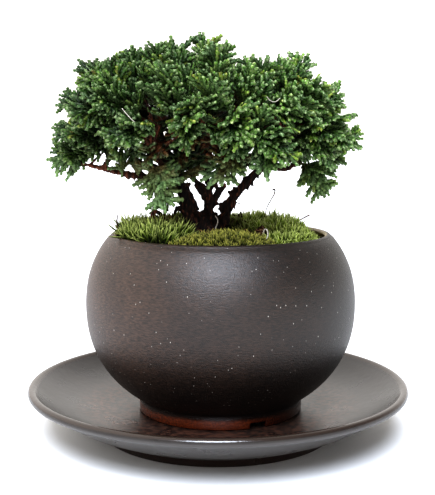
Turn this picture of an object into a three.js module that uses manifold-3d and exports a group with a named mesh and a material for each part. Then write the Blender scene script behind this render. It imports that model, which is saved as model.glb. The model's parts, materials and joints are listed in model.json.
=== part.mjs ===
// A hinoki cypress bonsai in a round stoneware pot that stands on a saucer.
// Millimetres, +Z up, +X to the right, -Y to the front. The origin is the middle of the saucer's foot.
import * as THREE from "three";
import { mergeVertices } from "three/addons/utils/BufferGeometryUtils.js";
import Module from "manifold-3d";

const wasm = await Module();
wasm.setup();

// ---------------------------------------------------------------- driving dimensions

const GAP = 0.3; // between pieces that touch
const ROUND = 32; // sides of the thrown pieces

// Saucer
const SAUCER_RADIUS = 75;
const SAUCER_HEIGHT = 20;
const SAUCER_FLOOR = 9; // top of the floor that the pot stands on
const SAUCER_LIP = 1.7; // half the thickness of the rolled rim
const SAUCER_FOOT_RADIUS = 46.5;
const SAUCER_FOOT_WIDTH = 4.5;
const SAUCER_FOOT_HEIGHT = 3;

// Pot: two half superellipses, one above and one below the belly
const POT_X = 1; // the pot stands this far right of the saucer's middle
const BELLY_RADIUS = 52.9;
const BELLY_HEIGHT = 51.8;
const RISE_ABOVE = 43.3;
const RISE_BELOW = 44.7;
const FULLNESS = 2.2; // 2 is an ellipse, more is boxier
const RIM_HEIGHT = 79.3;
const WALL = 3.2;
const POT_FOOT_RADIUS = 32.7;
const POT_FOOT_WIDTH = 5;
const POT_NECK_HEIGHT = 14.6;
const POT_FLOOR = 18;
const POT_BASE = 13.5; // underside of the pot's floor
const DRAIN_RADIUS = 7;
const NOTCHES = 3;
const NOTCH_WIDTH = 7;
const NOTCH_HEIGHT = 2.4;
const NOTCH_TURN = -64; // degrees from +X to the first notch

// Drain net and soil
const NET_SIDE = 24;
const NET_THICKNESS = 1;
const NET_STRIP = 1.6;
const NET_STRIPS = 4;
const SOIL_TOP = 74;
const SOIL_CLEAR = 0.8; // from the soil to the pot's wall
const SOIL_SIDES = 24;

// Trunk foot and roots
const TRUNK_X = -4.5;
const TRUNK_RADIUS = 7;
const TRUNK_PROFILE = [[58, 0.7], [72, 1], [81, 0.95], [86, 0.7], [89, 0.3]]; // height, share of the radius
const PIT_RADIUS = 9; // of the hole in the soil that the trunk foot stands in
const PIT_BOTTOM = 56;
const ROOT_TURNS = [30, 110, 200, 290]; // degrees round the trunk foot
const ROOT_PATH = [[3, 68], [12, 62], [20, 52], [25, 40]]; // distance from the trunk's middle, height
const ROOT_RADIUS = 2.6;
const ROOT_END_RADIUS = 1;
const ROOT_CLEAR = 0.5;

// Moss and the chip of bark that lies in it
const BARE_RADIUS = 10.5; // round the trunk, which the moss leaves bare
const MOSS_RADIUS = 39;
const MOSS_SIDES = 20;
const MOSS_CRINKLE = 0.9;
const CHIP_PLACE = [16, -7, 79.2];
const CHIP_TURNS = [0.5, -0.35, 1.1]; // radians about X, Y and Z
const CHIP_LENGTH = 8;
const CHIP_WIDTH = 3.4;
const CHIP_THICKNESS = 1.1;

// Crown: sprays stand on a rounded shell, with their bases inside it and their tips on it
const CROWN_MIDDLE = [-4, 0, 112];
const CROWN_REACH = [60, 51, 42];
const CROWN_FULLNESS = 2.4; // 2 is an ellipsoid, more is boxier
const SPRAYS_IN_ALL = 44;
const SPRAY_LENGTH = 23;
const SPRAY_MIDDLE = 0.55; // share of the way from its base to its tip
const LOWEST_SPRAY = -0.06; // sine of the angle above the crown's middle
const LEAN = 0.4; // how far a spray leans from straight out: up on top, down below
const LEAN_TURNS = 0.3; // sine of the angle where the lean turns over
const SPRAYS_APART = 12.6; // least distance between the middles of two sprays
const PLACES_TRIED = 900;
const SPREAD = 1.32471795724; // the plastic number: steps of its inverse powers spread places evenly
const BLADE = 1.2; // thickness of a frond
const LOBE = 2.7; // width of a branchlet's blunt end
const CELL_GAP = 0.5; // clear space between two sprays
const FREE_SHARE = 0.75; // share of its cell in which a spray is not bent
const TWIG_RADIUS = 1.4;
const TWIG_END_RADIUS = 0.8;
const TWIG_TURN = 7; // longest straight end of a twig, in line with its spray
const TWIG_CLEAR = 1; // from a twig's end to its spray's base

// ---------------------------------------------------------------- materials

const material = (color, roughness, metalness = 0) =>
  new THREE.MeshStandardMaterial({ color, roughness, metalness });
const glazed = material("#4b4543", 0.45);
const netting = material("#2c2f2e", 0.6);
const akadama = material("#6b4a33", 0.95);
const mossGreen = material("#6f7d24", 0.9);
const bark = material("#33231d", 0.9);
const foliage = material("#35602f", 0.6);
const chipBrown = material("#4a3020", 0.9);

// ---------------------------------------------------------------- shared tools

const radians = THREE.MathUtils.degToRad;
const lerp = THREE.MathUtils.lerp;
const V = (x, y, z) => new THREE.Vector3(x, y, z);

// The same draw from 0 to 1 for the same number, each time.
const draw = (n) => {
  const s = Math.sin(n * 12.9898) * 43758.5453;
  return s - Math.floor(s);
};

const evenly = (from, to, count) =>
  Array.from({ length: count }, (_, i) => lerp(from, to, i / (count - 1)));

function solidOf(geometry) {
  const bare = geometry.clone();
  bare.deleteAttribute("normal");
  bare.deleteAttribute("uv");
  const merged = mergeVertices(bare, 1e-4);
  const corners = merged.index.array;
  const kept = [];
  for (let i = 0; i < corners.length; i += 3) {
    const [a, b, c] = corners.subarray(i, i + 3);
    if (a !== b && b !== c && c !== a) kept.push(a, b, c);
  }
  return new wasm.Manifold(
    new wasm.Mesh({
      numProp: 3,
      vertProperties: merged.attributes.position.array,
      triVerts: new Uint32Array(kept),
    }),
  );
}

function geometryOf(solid) {
  const mesh = solid.getMesh();
  const geometry = new THREE.BufferGeometry();
  geometry.setAttribute("position", new THREE.BufferAttribute(mesh.vertProperties, 3));
  geometry.setIndex(new THREE.BufferAttribute(mesh.triVerts, 1));
  geometry.computeVertexNormals();
  return geometry;
}

const joined = (solids) => solids.reduce((whole, solid) => whole.add(solid));

const cutBy = (solid, cuts) => cuts.reduce((left, cut) => left.subtract(solidOf(cut)), solid);

// Moves each vertex of a geometry to where place(vertex) says.
function shaped(geometry, place) {
  const position = geometry.attributes.position;
  const vertex = new THREE.Vector3();
  for (let i = 0; i < position.count; i++) {
    vertex.fromBufferAttribute(position, i);
    const moved = place(vertex);
    position.setXYZ(i, moved.x, moved.y, moved.z);
  }
  return geometry;
}

// A closed outline of [radius, height] pairs, run from the outside down and back up inside,
// turned about Z.
function turned(outline, sides = ROUND) {
  const points = outline.map(([r, z]) => new THREE.Vector2(r, z));
  return new THREE.LatheGeometry(points, sides).rotateX(Math.PI / 2);
}

// A tapered round limb along a curve, closed at both ends.
function limb(curve, radiusFrom, radiusTo, sides, steps) {
  const frames = curve.computeFrenetFrames(steps);
  const tube = new THREE.CylinderGeometry(1, 1, 1, sides, steps);
  return shaped(tube, (v) => {
    const t = v.y + 0.5;
    const i = Math.round(t * steps);
    const radius = lerp(radiusFrom, radiusTo, t);
    return curve
      .getPointAt(t)
      .addScaledVector(frames.normals[i], v.z * radius)
      .addScaledVector(frames.binormals[i], v.x * radius);
  });
}

const parts = new THREE.Group();

function add(name, geometry, finish) {
  const mesh = new THREE.Mesh(geometry, finish);
  mesh.name = name;
  parts.add(mesh);
  return mesh;
}

// ---------------------------------------------------------------- saucer

function saucer() {
  const lipRadius = SAUCER_RADIUS - SAUCER_LIP;
  const lipHeight = SAUCER_HEIGHT - SAUCER_LIP;
  const footInner = SAUCER_FOOT_RADIUS - SAUCER_FOOT_WIDTH;
  const rolled = [-100, -45, 0, 45, 90, 150].map((a) => [
    lipRadius + SAUCER_LIP * Math.cos(radians(a)),
    lipHeight + SAUCER_LIP * Math.sin(radians(a)),
  ]);
  return turned([
    [0, SAUCER_FOOT_HEIGHT - 1],
    [footInner - 1, SAUCER_FOOT_HEIGHT - 1],
    [footInner, 0],
    [SAUCER_FOOT_RADIUS - 0.5, 0],
    [SAUCER_FOOT_RADIUS, SAUCER_FOOT_HEIGHT],
    [SAUCER_FOOT_RADIUS + 13, SAUCER_FOOT_HEIGHT + 5.2],
    ...rolled,
    [61, SAUCER_FLOOR + 3.7],
    [48, SAUCER_FLOOR + 1],
    [36, SAUCER_FLOOR],
    [0, SAUCER_FLOOR],
  ]);
}

// ---------------------------------------------------------------- pot

// Outer radius of the pot at a height above the ground.
function potRadius(z) {
  const rise = z > BELLY_HEIGHT ? RISE_ABOVE : RISE_BELOW;
  const t = Math.abs(z - BELLY_HEIGHT) / rise;
  return BELLY_RADIUS * (1 - t ** FULLNESS) ** (1 / FULLNESS);
}

const INNER_HEIGHTS = evenly(RIM_HEIGHT - 3, POT_FLOOR + 5, 5);

function pot() {
  const footInner = POT_FOOT_RADIUS - POT_FOOT_WIDTH;
  const outside = evenly(POT_NECK_HEIGHT + 1.2, RIM_HEIGHT - 0.6, 9);
  const body = turned([
    [DRAIN_RADIUS, POT_BASE],
    [footInner - 1.5, POT_BASE],
    [footInner, SAUCER_FLOOR],
    [POT_FOOT_RADIUS - 0.6, SAUCER_FLOOR],
    [POT_FOOT_RADIUS, POT_NECK_HEIGHT - 2],
    [POT_FOOT_RADIUS - 0.8, POT_NECK_HEIGHT],
    ...outside.map((z) => [potRadius(z), z]),
    [potRadius(RIM_HEIGHT) - 1.2, RIM_HEIGHT],
    [potRadius(RIM_HEIGHT) - WALL + 0.4, RIM_HEIGHT - 0.4],
    ...INNER_HEIGHTS.map((z) => [potRadius(z) - WALL, z]),
    [potRadius(POT_FLOOR) - WALL - 4, POT_FLOOR],
    [DRAIN_RADIUS, POT_FLOOR],
    [DRAIN_RADIUS, POT_BASE],
  ]);
  // Notches in the foot ring let the water out.
  const notches = Array.from({ length: NOTCHES }, (_, i) =>
    new THREE.BoxGeometry(POT_FOOT_WIDTH * 3, NOTCH_WIDTH, NOTCH_HEIGHT * 2)
      .translate(POT_FOOT_RADIUS, 0, SAUCER_FLOOR)
      .rotateZ(radians(NOTCH_TURN + (360 / NOTCHES) * i)),
  );
  return geometryOf(cutBy(solidOf(body), notches));
}

// ---------------------------------------------------------------- drain net

// A square grid of strips.
function drainNet() {
  const reach = (NET_SIDE - NET_STRIP) / 2;
  const strips = evenly(-reach, reach, NET_STRIPS).flatMap((place) => [
    new THREE.BoxGeometry(NET_SIDE, NET_STRIP, NET_THICKNESS).translate(0, place, 0),
    new THREE.BoxGeometry(NET_STRIP, NET_SIDE, NET_THICKNESS).translate(place, 0, 0),
  ]);
  const net = geometryOf(joined(strips.map(solidOf)));
  return net.translate(0, 0, POT_FLOOR + GAP + NET_THICKNESS / 2);
}

// ---------------------------------------------------------------- limbs and roots

// Each limb: its points, and its radius at the start and at the end.
const LIMBS = [
  // left stem, its long low branch, and its limbs to the front and the back
  {
    at: [[-7, 0, 70], [-9, 0, 80], [-11, -1, 88], [-14, -1, 96], [-18, 0, 105], [-21, 2, 116]],
    from: 3.6,
    to: 1.3,
  },
  {
    at: [[-15, -1, 97], [-20, -1, 99.5], [-29, -2, 101], [-40, -2, 103.5], [-53, -2, 106.5]],
    from: 1.9,
    to: 0.7,
  },
  { at: [[-15.5, -1, 99], [-20, -9, 105], [-25, -18, 111]], from: 1.7, to: 1 },
  { at: [[-16, 0, 100], [-22, 9, 107], [-29, 17, 114]], from: 1.7, to: 1 },
  // middle stem and its fork
  { at: [[-4, 0, 70], [-4, 0, 80], [-4, 0, 89], [-3.5, 0, 96]], from: 3.6, to: 2.4 },
  { at: [[-3.5, 0, 95], [-9, -1, 100], [-12, -4, 108], [-11, -6, 118]], from: 2, to: 1.1 },
  { at: [[-3.5, 0, 95], [0, 1, 100], [1, 5, 109], [1, 7, 119]], from: 2, to: 1.1 },
  { at: [[-3, 0, 96], [2, -3, 103], [7, -6, 111], [8, -9, 117]], from: 1.6, to: 1 },
  { at: [[-4, 1, 96], [-5, 9, 103], [-3, 18, 111]], from: 1.7, to: 1 },
  // right stem, its thin low branch, and its limbs to the front and the back
  {
    at: [[0, 0, 70], [1, 0, 80], [3.5, 0, 89], [10, 0, 98], [17, 0, 105], [22, 0, 112], [25, 0, 119]],
    from: 3.4,
    to: 1.2,
  },
  { at: [[17, 0, 105], [21, -1, 104.5], [27, -1, 104.5], [31, 0, 106]], from: 1, to: 0.9 },
  { at: [[19, 0, 108], [22, -9, 112], [25, -17, 116]], from: 1.5, to: 0.9 },
  { at: [[19, 0, 108], [22, 9, 112], [25, 18, 117]], from: 1.5, to: 0.9 },
];
const STEM_RADIUS = 2.5; // limbs thicker than this have more sides

const curveThrough = (points) => new THREE.CatmullRomCurve3(points.map((p) => V(...p)));

function root(turn, swell) {
  const path = ROOT_PATH.map(([distance, z]) => [
    TRUNK_X + distance * Math.cos(radians(turn)),
    distance * Math.sin(radians(turn)),
    z,
  ]);
  return limb(curveThrough(path), ROOT_RADIUS + swell, ROOT_END_RADIUS + swell, 4, 3);
}

// ---------------------------------------------------------------- places of the sprays

// Sprays that give the crown its outline, from left to right: the tall sprigs on top,
// the long ones at the sides and those that hang below. Each has its base and its tip.
const OUTLINE_SPRAYS = [
  { base: [-48, 3, 112], tip: [-66, 2, 108] },
  { base: [-42, -6, 116], tip: [-63, -8, 120] },
  { base: [-42, 4, 124], tip: [-63, 4, 131] },
  { base: [-38, 0, 130], tip: [-52, -2, 146] },
  { base: [-28, -4, 132], tip: [-33, -6, 151] },
  { base: [-25, -13, 107], tip: [-20, -23, 90] },
  { base: [-14, -3, 134], tip: [-16, -7, 153] },
  { base: [-3, 2, 135], tip: [-5, 2, 156] },
  { base: [8, -14, 114], tip: [-3, -27, 99] },
  { base: [10, 2, 129], tip: [14, 0, 147] },
  { base: [24, 0, 128], tip: [33, 0, 149] },
  { base: [29, -4, 123], tip: [48, -8, 134] },
  { base: [34, 0, 116], tip: [56, 0, 115] },
  { base: [32, 0, 107], tip: [44, -5, 93] },
];
const TOWARDS_FRONT = [0, -1, 0.7]; // the way the flat side of an outline spray faces
const TOWARDS_SKY = 1.2; // upward part of the way the other sprays' flat sides face

// A point on the crown's shell, in the direction of a unit vector from its middle.
function crownPoint(out) {
  const shares = out.toArray().map((part, axis) => Math.abs(part / CROWN_REACH[axis]));
  const sum = shares.reduce((total, share) => total + share ** CROWN_FULLNESS, 0);
  return V(...CROWN_MIDDLE).addScaledVector(out, sum ** (-1 / CROWN_FULLNESS));
}

// A spray's place, with the unit vectors along it and out of its flat side.
function sprayPlace(base, tip, faces) {
  const along = tip.clone().sub(base);
  const length = along.length();
  along.normalize();
  const normal = faces.addScaledVector(along, -faces.dot(along)).normalize();
  return { base, tip, along, normal, length, middle: base.clone().lerp(tip, SPRAY_MIDDLE) };
}

// After the outline sprays, places spread evenly over the shell, where there is still room.
function sprayPlaces() {
  const places = OUTLINE_SPRAYS.map(({ base, tip }) =>
    sprayPlace(V(...base), V(...tip), V(...TOWARDS_FRONT)),
  );
  for (let i = 0; i < PLACES_TRIED && places.length < SPRAYS_IN_ALL; i++) {
    const lift = lerp(LOWEST_SPRAY, 1, (i / SPREAD ** 2) % 1);
    const level = Math.sqrt(1 - lift * lift);
    const turn = (2 * Math.PI * i) / SPREAD;
    const out = V(level * Math.cos(turn), level * Math.sin(turn), lift);
    const tip = crownPoint(out);
    const lean = V(0, 0, lift < LEAN_TURNS ? -LEAN : LEAN);
    const base = tip.clone().addScaledVector(out.add(lean).normalize(), -SPRAY_LENGTH);
    const place = sprayPlace(base, tip, V(Math.cos(i), Math.sin(i), TOWARDS_SKY));
    const hasRoom = (other) => other.middle.distanceTo(place.middle) > SPRAYS_APART;
    if (places.every(hasRoom)) places.push(place);
  }
  return places;
}

const SPRAYS = sprayPlaces();

// Bends a point of a spray so that it stays in the space nearer to its own middle than to another's.
function bentClear(point, own) {
  const from = point.clone().sub(own.middle);
  let share = 0;
  for (const other of SPRAYS) {
    if (other === own) continue;
    const apart = other.middle.clone().sub(own.middle);
    const half = (apart.length() - CELL_GAP) / 2;
    share = Math.max(share, from.dot(apart.normalize()) / half);
  }
  if (share <= FREE_SHARE) return point;
  const rest = 1 - FREE_SHARE;
  const kept = FREE_SHARE + rest * (1 - Math.exp(-(share - FREE_SHARE) / rest));
  return from.multiplyScalar(kept / share).add(own.middle);
}

// ---------------------------------------------------------------- sprays

// Outline of a frond with a blunt lobe for each branchlet, along +X from the origin.
// left and right are the counts of branchlets on its two sides.
function frondShape(length, left, right, seed) {
  const blunt = LOBE / 2;
  const lobes = (side, count) =>
    Array.from({ length: count }, (_, i) => {
      const share = (i + 0.5) / count;
      const angle = radians(lerp(50, 34, share));
      const reach = length * lerp(0.5, 0.32, share) * lerp(0.85, 1.1, draw(seed + i + side));
      const [c, s] = [Math.cos(angle), Math.sin(angle)];
      const foot = length * lerp(0.08, 0.8, share);
      const [x, y] = [foot + reach * c, blunt * 0.6 + reach * s];
      return [
        [foot, side * blunt * 0.7],
        [x - blunt * s, side * (y + blunt * c)],
        [x + blunt * s, side * (y - blunt * c)],
      ];
    }).flat();
  const [neck, width] = [length * 0.84, blunt * 0.8];
  const outline = [
    [0, 0],
    ...lobes(-1, right),
    [neck, -width],
    [length, -width],
    [length, width],
    [neck, width],
    ...lobes(1, left).reverse(),
  ];
  return new THREE.Shape(outline.map(([x, y]) => new THREE.Vector2(x, y)));
}

// How the fronds stand on a spray: where they leave its middle line, their turn in its plane and
// out of it in degrees, their length beside the spray's, and their branchlets on either side.
const FRONDS = [
  { leaves: 0, swing: 0, lift: 6, size: 1, left: 3, right: 3 },
  { leaves: 0.06, swing: 20, lift: 34, size: 0.8, left: 2, right: 1 },
  { leaves: 0.12, swing: -24, lift: -24, size: 0.78, left: 1, right: 2 },
];

function frond(spray, { leaves, swing, lift, size, left, right }, seed) {
  const reach = spray.length * size;
  const outline = frondShape(reach, left, right, seed);
  const blade = new THREE.ExtrudeGeometry(outline, { depth: BLADE, bevelEnabled: false });
  const along = spray.along.clone().applyAxisAngle(spray.normal, radians(swing));
  const side = spray.normal.clone().cross(along);
  const forward = along.clone().applyAxisAngle(side, radians(-lift));
  const normal = forward.clone().cross(side);
  const start = spray.base.clone().lerp(spray.tip, leaves);
  const arch = lerp(0.08, 0.24, draw(seed + 7));
  return shaped(blade, (v) => {
    const sag = reach * arch * (v.x / reach) ** 2;
    const place = start
      .clone()
      .addScaledVector(forward, v.x)
      .addScaledVector(side, v.y)
      .addScaledVector(normal, v.z - BLADE / 2 - sag);
    return bentClear(place, spray);
  });
}

const spraySolid = (spray, number) =>
  joined(FRONDS.map((posture, n) => solidOf(frond(spray, posture, number * 10 + n))));

// ---------------------------------------------------------------- wood

// The point of the limbs that is nearest to a spray's base, where one below it counts as nearer.
function nearestLimbPoint(base) {
  const points = LIMBS.flatMap(({ at, from, to }) => {
    const curve = curveThrough(at);
    return evenly(0.5, 0.98, 9).map((t) => {
      const point = curve.getPointAt(t);
      const distance = point.distanceTo(base) + Math.max(0, point.z - base.z) * 2;
      return { point, distance, radius: lerp(from, to, t) };
    });
  });
  return points.reduce((best, each) => (each.distance < best.distance ? each : best));
}

// A twig from a limb to just short of a spray.
function twig(spray) {
  const { point, radius } = nearestLimbPoint(spray.base);
  const end = bentClear(spray.base.clone().addScaledVector(spray.along, -TWIG_CLEAR), spray);
  const straight = Math.min(TWIG_TURN, point.distanceTo(end) / 2);
  const before = end.clone().addScaledVector(spray.along, -straight);
  const curve = new THREE.CatmullRomCurve3([point, before, end]);
  return limb(curve, Math.min(radius * 0.8, TWIG_RADIUS), TWIG_END_RADIUS, 3, 2);
}

// The trunk foot narrows to the fork of the three stems.
function trunkFoot() {
  const outline = TRUNK_PROFILE.map(([z, share]) => [TRUNK_RADIUS * share, z]);
  const [bottom, top] = [outline[0][1], outline.at(-1)[1]];
  return turned([[0, bottom], ...outline, [0, top]], 8).translate(TRUNK_X, 0, 0);
}

function wood() {
  const limbs = LIMBS.map(({ at, from, to }) =>
    limb(curveThrough(at), from, to, from > STEM_RADIUS ? 6 : 4, at.length - 1),
  );
  const roots = ROOT_TURNS.map((turn) => root(turn, 0));
  return joined([trunkFoot(), ...limbs, ...roots, ...SPRAYS.map(twig)].map(solidOf));
}

// ---------------------------------------------------------------- soil

function soil() {
  const bottom = POT_FLOOR + NET_THICKNESS + 2 * GAP;
  const clearRadius = (z) => potRadius(z) - WALL - SOIL_CLEAR;
  const heights = [SOIL_TOP, ...INNER_HEIGHTS.filter((z) => z < SOIL_TOP)].reverse();
  const sides = heights.map((z) => [clearRadius(z), z]);
  const outline = [[0, bottom], [clearRadius(bottom) - 6, bottom], ...sides, [0, SOIL_TOP]];
  const body = turned(outline, SOIL_SIDES).translate(POT_X, 0, 0);
  const top = SOIL_TOP + 5;
  const pit = turned([[0, PIT_BOTTOM], [PIT_RADIUS, PIT_BOTTOM], [PIT_RADIUS, top], [0, top]], 10);
  const roots = ROOT_TURNS.map((turn) => root(turn, ROOT_CLEAR));
  return cutBy(solidOf(body), [pit.translate(TRUNK_X, 0, 0), ...roots]);
}

// ---------------------------------------------------------------- moss

const MOSS = [
  { name: "moss_left", at: [-25, -9], height: 11 },
  { name: "moss_front", at: [4, -25], height: 8 },
  { name: "moss_right", at: [27, -12], height: 7.5 },
  { name: "moss_back_right", at: [19, 18], height: 11 },
  { name: "moss_back_left", at: [-17, 24], height: 10 },
];

// A domed mat that grows out to its neighbours, to the trunk's pit and to the pot's wall.
function mossMat(mat) {
  const outline = [1, 0.8, 0.45, 0].map((r) => [r, Math.sqrt(1 - r * r * 0.8)]);
  const dome = turned([[0, 0], [1, 0], ...outline], MOSS_SIDES);
  const middle = new THREE.Vector2(...mat.at);
  const fromPot = middle.clone().sub(new THREE.Vector2(POT_X, 0));
  const toTrunk = new THREE.Vector2(TRUNK_X, 0).sub(middle);
  const toOthers = MOSS.filter((other) => other !== mat).map((other) =>
    new THREE.Vector2(...other.at).sub(middle),
  );
  return shaped(dome, (v) => {
    const turn = Math.atan2(v.y, v.x);
    const out = new THREE.Vector2(Math.cos(turn), Math.sin(turn));
    // How far out the mat may grow until it is the given distance along towards.
    const limit = (towards, distance) => {
      const facing = out.dot(towards.clone().normalize());
      return facing > 0.01 ? distance / facing : Infinity;
    };
    const b = fromPot.dot(out);
    const room = Math.min(
      ...toOthers.map((apart) => limit(apart, apart.length() / 2 - GAP)),
      limit(toTrunk, toTrunk.length() - BARE_RADIUS),
      -b + Math.sqrt(b * b - fromPot.lengthSq() + MOSS_RADIUS ** 2),
    );
    const reach = Math.hypot(v.x, v.y) * room;
    const crinkle = v.z > 0.5 ? MOSS_CRINKLE * Math.sin(reach * 1.7 + turn * 5) : 0;
    const z = SOIL_TOP + GAP + v.z * mat.height + crinkle;
    return V(middle.x + out.x * reach, middle.y + out.y * reach, z);
  });
}

// ---------------------------------------------------------------- chip of bark

// A flake with a broken end, which lies askew; swell widens it on all sides.
function barkChip(swell) {
  const [half, side] = [CHIP_LENGTH / 2 + swell, CHIP_WIDTH / 2 + swell];
  const flake = new THREE.Shape()
    .moveTo(-half, -side * 0.5)
    .lineTo(half * 0.7, -side)
    .lineTo(half, side * 0.2)
    .lineTo(half * 0.5, side)
    .lineTo(-half * 0.8, side * 0.8);
  const depth = CHIP_THICKNESS + 2 * swell;
  return new THREE.ExtrudeGeometry(flake, { depth, bevelEnabled: false })
    .translate(0, 0, -depth / 2)
    .rotateX(CHIP_TURNS[0])
    .rotateY(CHIP_TURNS[1])
    .rotateZ(CHIP_TURNS[2])
    .translate(...CHIP_PLACE);
}

// ---------------------------------------------------------------- the whole object

add("saucer", saucer(), glazed);
add("pot", pot(), glazed).position.x = POT_X;
add("drain_net", drainNet(), netting).position.x = POT_X;
add("soil", geometryOf(soil()), akadama);
for (const mat of MOSS) {
  add(mat.name, geometryOf(cutBy(solidOf(mossMat(mat)), [barkChip(GAP)])), mossGreen);
}
add("bark_chip", barkChip(0), chipBrown);
add("wood", geometryOf(wood()), bark);
SPRAYS.forEach((spray, i) => {
  const number = String(i + 1).padStart(2, "0");
  add("spray_" + number, geometryOf(spraySolid(spray, i)), foliage);
});

export default parts;
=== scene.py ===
"""A hinoki cypress bonsai in moss, in a round stoneware pot that stands on a glazed saucer."""

import json
import math
from functools import partial

import bmesh
import bpy
import numpy as np
from bpy.props import FloatProperty, FloatVectorProperty, IntProperty, PointerProperty
from mathutils import Matrix, Vector, noise
from mathutils.bvhtree import BVHTree

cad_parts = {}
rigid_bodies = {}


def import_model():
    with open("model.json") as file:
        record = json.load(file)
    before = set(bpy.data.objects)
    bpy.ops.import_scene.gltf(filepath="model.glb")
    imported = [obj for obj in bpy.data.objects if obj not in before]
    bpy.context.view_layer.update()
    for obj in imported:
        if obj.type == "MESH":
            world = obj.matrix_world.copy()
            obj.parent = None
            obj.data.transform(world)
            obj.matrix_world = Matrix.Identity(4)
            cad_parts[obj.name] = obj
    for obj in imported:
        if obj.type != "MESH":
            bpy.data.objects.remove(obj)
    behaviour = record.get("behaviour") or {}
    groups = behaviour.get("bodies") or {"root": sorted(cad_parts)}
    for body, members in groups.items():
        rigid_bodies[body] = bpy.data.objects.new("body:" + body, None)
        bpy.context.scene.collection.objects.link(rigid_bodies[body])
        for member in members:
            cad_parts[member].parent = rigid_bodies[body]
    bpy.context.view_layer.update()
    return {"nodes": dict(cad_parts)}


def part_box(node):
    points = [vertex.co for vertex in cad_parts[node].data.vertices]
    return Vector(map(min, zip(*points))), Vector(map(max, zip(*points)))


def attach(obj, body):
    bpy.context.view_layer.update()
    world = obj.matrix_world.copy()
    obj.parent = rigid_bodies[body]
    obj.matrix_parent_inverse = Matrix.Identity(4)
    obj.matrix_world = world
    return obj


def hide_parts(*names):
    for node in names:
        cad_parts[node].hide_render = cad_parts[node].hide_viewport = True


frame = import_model()
NODES = frame["nodes"]

bl_info = {
    "name": "Hinoki Bonsai",
    "version": (1, 0, 0),
    "blender": (4, 5, 0),
    "location": "View3D > Sidebar > Bonsai",
    "description": "Builds a potted hinoki cypress bonsai with moss, pot and saucer",
    "category": "Object",
}

MM = 0.001

# The thrown pieces, in millimetres above the ground and from their own axis
SAUCER_RADIUS = 75
SAUCER_HEIGHT = 20
SAUCER_FLOOR = 9
SAUCER_LIP = 1.7
SAUCER_FOOT_RADIUS = 46.5
SAUCER_FOOT_WIDTH = 4.5
SAUCER_FOOT_HEIGHT = 3
POT_X = 1
BELLY_RADIUS = 52.9
BELLY_HEIGHT = 51.8
RISE_ABOVE = 43.3
RISE_BELOW = 44.7
FULLNESS = 2.2
RIM_HEIGHT = 79.3
WALL = 3.2
POT_FOOT_RADIUS = 32.7
POT_FOOT_WIDTH = 5
POT_NECK_HEIGHT = 14.6
POT_FLOOR = 18
POT_BASE = 13.5
DRAIN_RADIUS = 7
NOTCH_WIDTH = 7
NOTCH_HEIGHT = 2.4
NOTCH_TURNS = (-64, 56, 176)
SOIL_TOP = 74
TRUNK_X = -4.5
STEM_TRIM = 0.8
LEFT_STEM_TRIM = 0.1
MIDDLE_STEM_TRIM = 1.3
LIMB_GROWTH = 0.2
LARGEST_SCRAP = 200

# How the sprays are spread over the crown, as in the frame. Powers of SPREAD place points evenly
CROWN_MIDDLE = np.array((-4.0, 0.0, 112.0))
CROWN_REACH = np.array((60.0, 51.0, 42.0))
CROWN_FULLNESS = 2.4
SPRAYS_IN_ALL = 44
SPRAY_LENGTH = 23
SPRAY_MIDDLE = 0.55
LOWEST_SPRAY = -0.06
LEAN = 0.4
LEAN_TURNS = 0.3
SPRAYS_APART = 12.6
PLACES_TRIED = 900
SPREAD = 1.32471795724
CELL_GAP = 0.5
FREE_SHARE = 0.75
OUTLINE_SPRAYS = (
    ((-48, 3, 112), (-66, 2, 108)),
    ((-42, -6, 116), (-63, -8, 120)),
    ((-42, 4, 124), (-63, 4, 131)),
    ((-38, 0, 130), (-52, -2, 146)),
    ((-28, -4, 132), (-33, -6, 151)),
    ((-25, -13, 107), (-20, -23, 90)),
    ((-14, -3, 134), (-16, -7, 153)),
    ((-3, 2, 135), (-5, 2, 156)),
    ((8, -14, 114), (-3, -27, 99)),
    ((10, 2, 129), (14, 0, 147)),
    ((24, 0, 128), (33, 0, 149)),
    ((29, -4, 123), (48, -8, 134)),
    ((34, 0, 116), (56, 0, 115)),
    ((32, 0, 107), (44, -5, 93)),
)
TOWARDS_FRONT = (0, -1, 0.7)
TOWARDS_SKY = 1.2

# Pairs of scale leaves on a short and on a long branchlet, then their width beside the branchlet's:
# where they swell, between them, and by how much each pair is wider one way than the other
SHORT = 4
LONG = 6
SCALE_SWELL = 1.06
SCALE_NECK = 0.72
SCALE_CROSSING = 0.14

# Short fronds on the left stem's crotch: their foot, their way and their length
STEM_FRONDS = (
    ((-15.0, -2.0, 103.0), (0.15, -0.5, 0.6), 12),
    ((-14.0, -2.0, 101.0), (0.5, -0.7, 0.35), 11),
    ((-18.0, -2.0, 106.0), (0.3, -0.5, 0.4), 12),
    ((-12.0, -2.0, 105.0), (0.4, -0.4, 0.9), 11),
    ((-15.0, 2.0, 102.0), (0.2, 0.7, 0.6), 12),
)

# Heights and places in the crown, in millimetres, where its sprays grow otherwise
HANGING_BELOW = 104
LOW_BELOW = 110
HIGH_ABOVE = 124
DOME_FROM = 126
RIGHT_REACH = 18
FAR_RIGHT = 30
FACES_FRONT = -0.6

# How freely the fronds of a spray grow there
OUTLINE_VIGOUR = 0.89
CROWN_VIGOUR = 0.92
RIGHT_LOSS = 0.24
HANGING_VIGOUR = 0.88
FAR_RIGHT_VIGOUR = 0.78
THIN_SHARE = 0.85

# Room between the branchlets of a lateral, in millimetres
LATERAL_GAP = 3.2
HANGING_GAP = 5

# Where fronds start straight from the limbs, and where the stems and the crown's foot stay bare
INNER_HEIGHTS = (98, 134)
INNER_LOW_BELOW = 107
INNER_LOW_APART = (-24, 8)
INNER_LOW_WIDTH = (-44, 0)
BARE_STEMS_BELOW = 104
BARE_STEMS_WIDTH = (-14, 12)
CROWN_FOOT_BELOW = -17
CROWN_FOOT_RADIUS = 16

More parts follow.
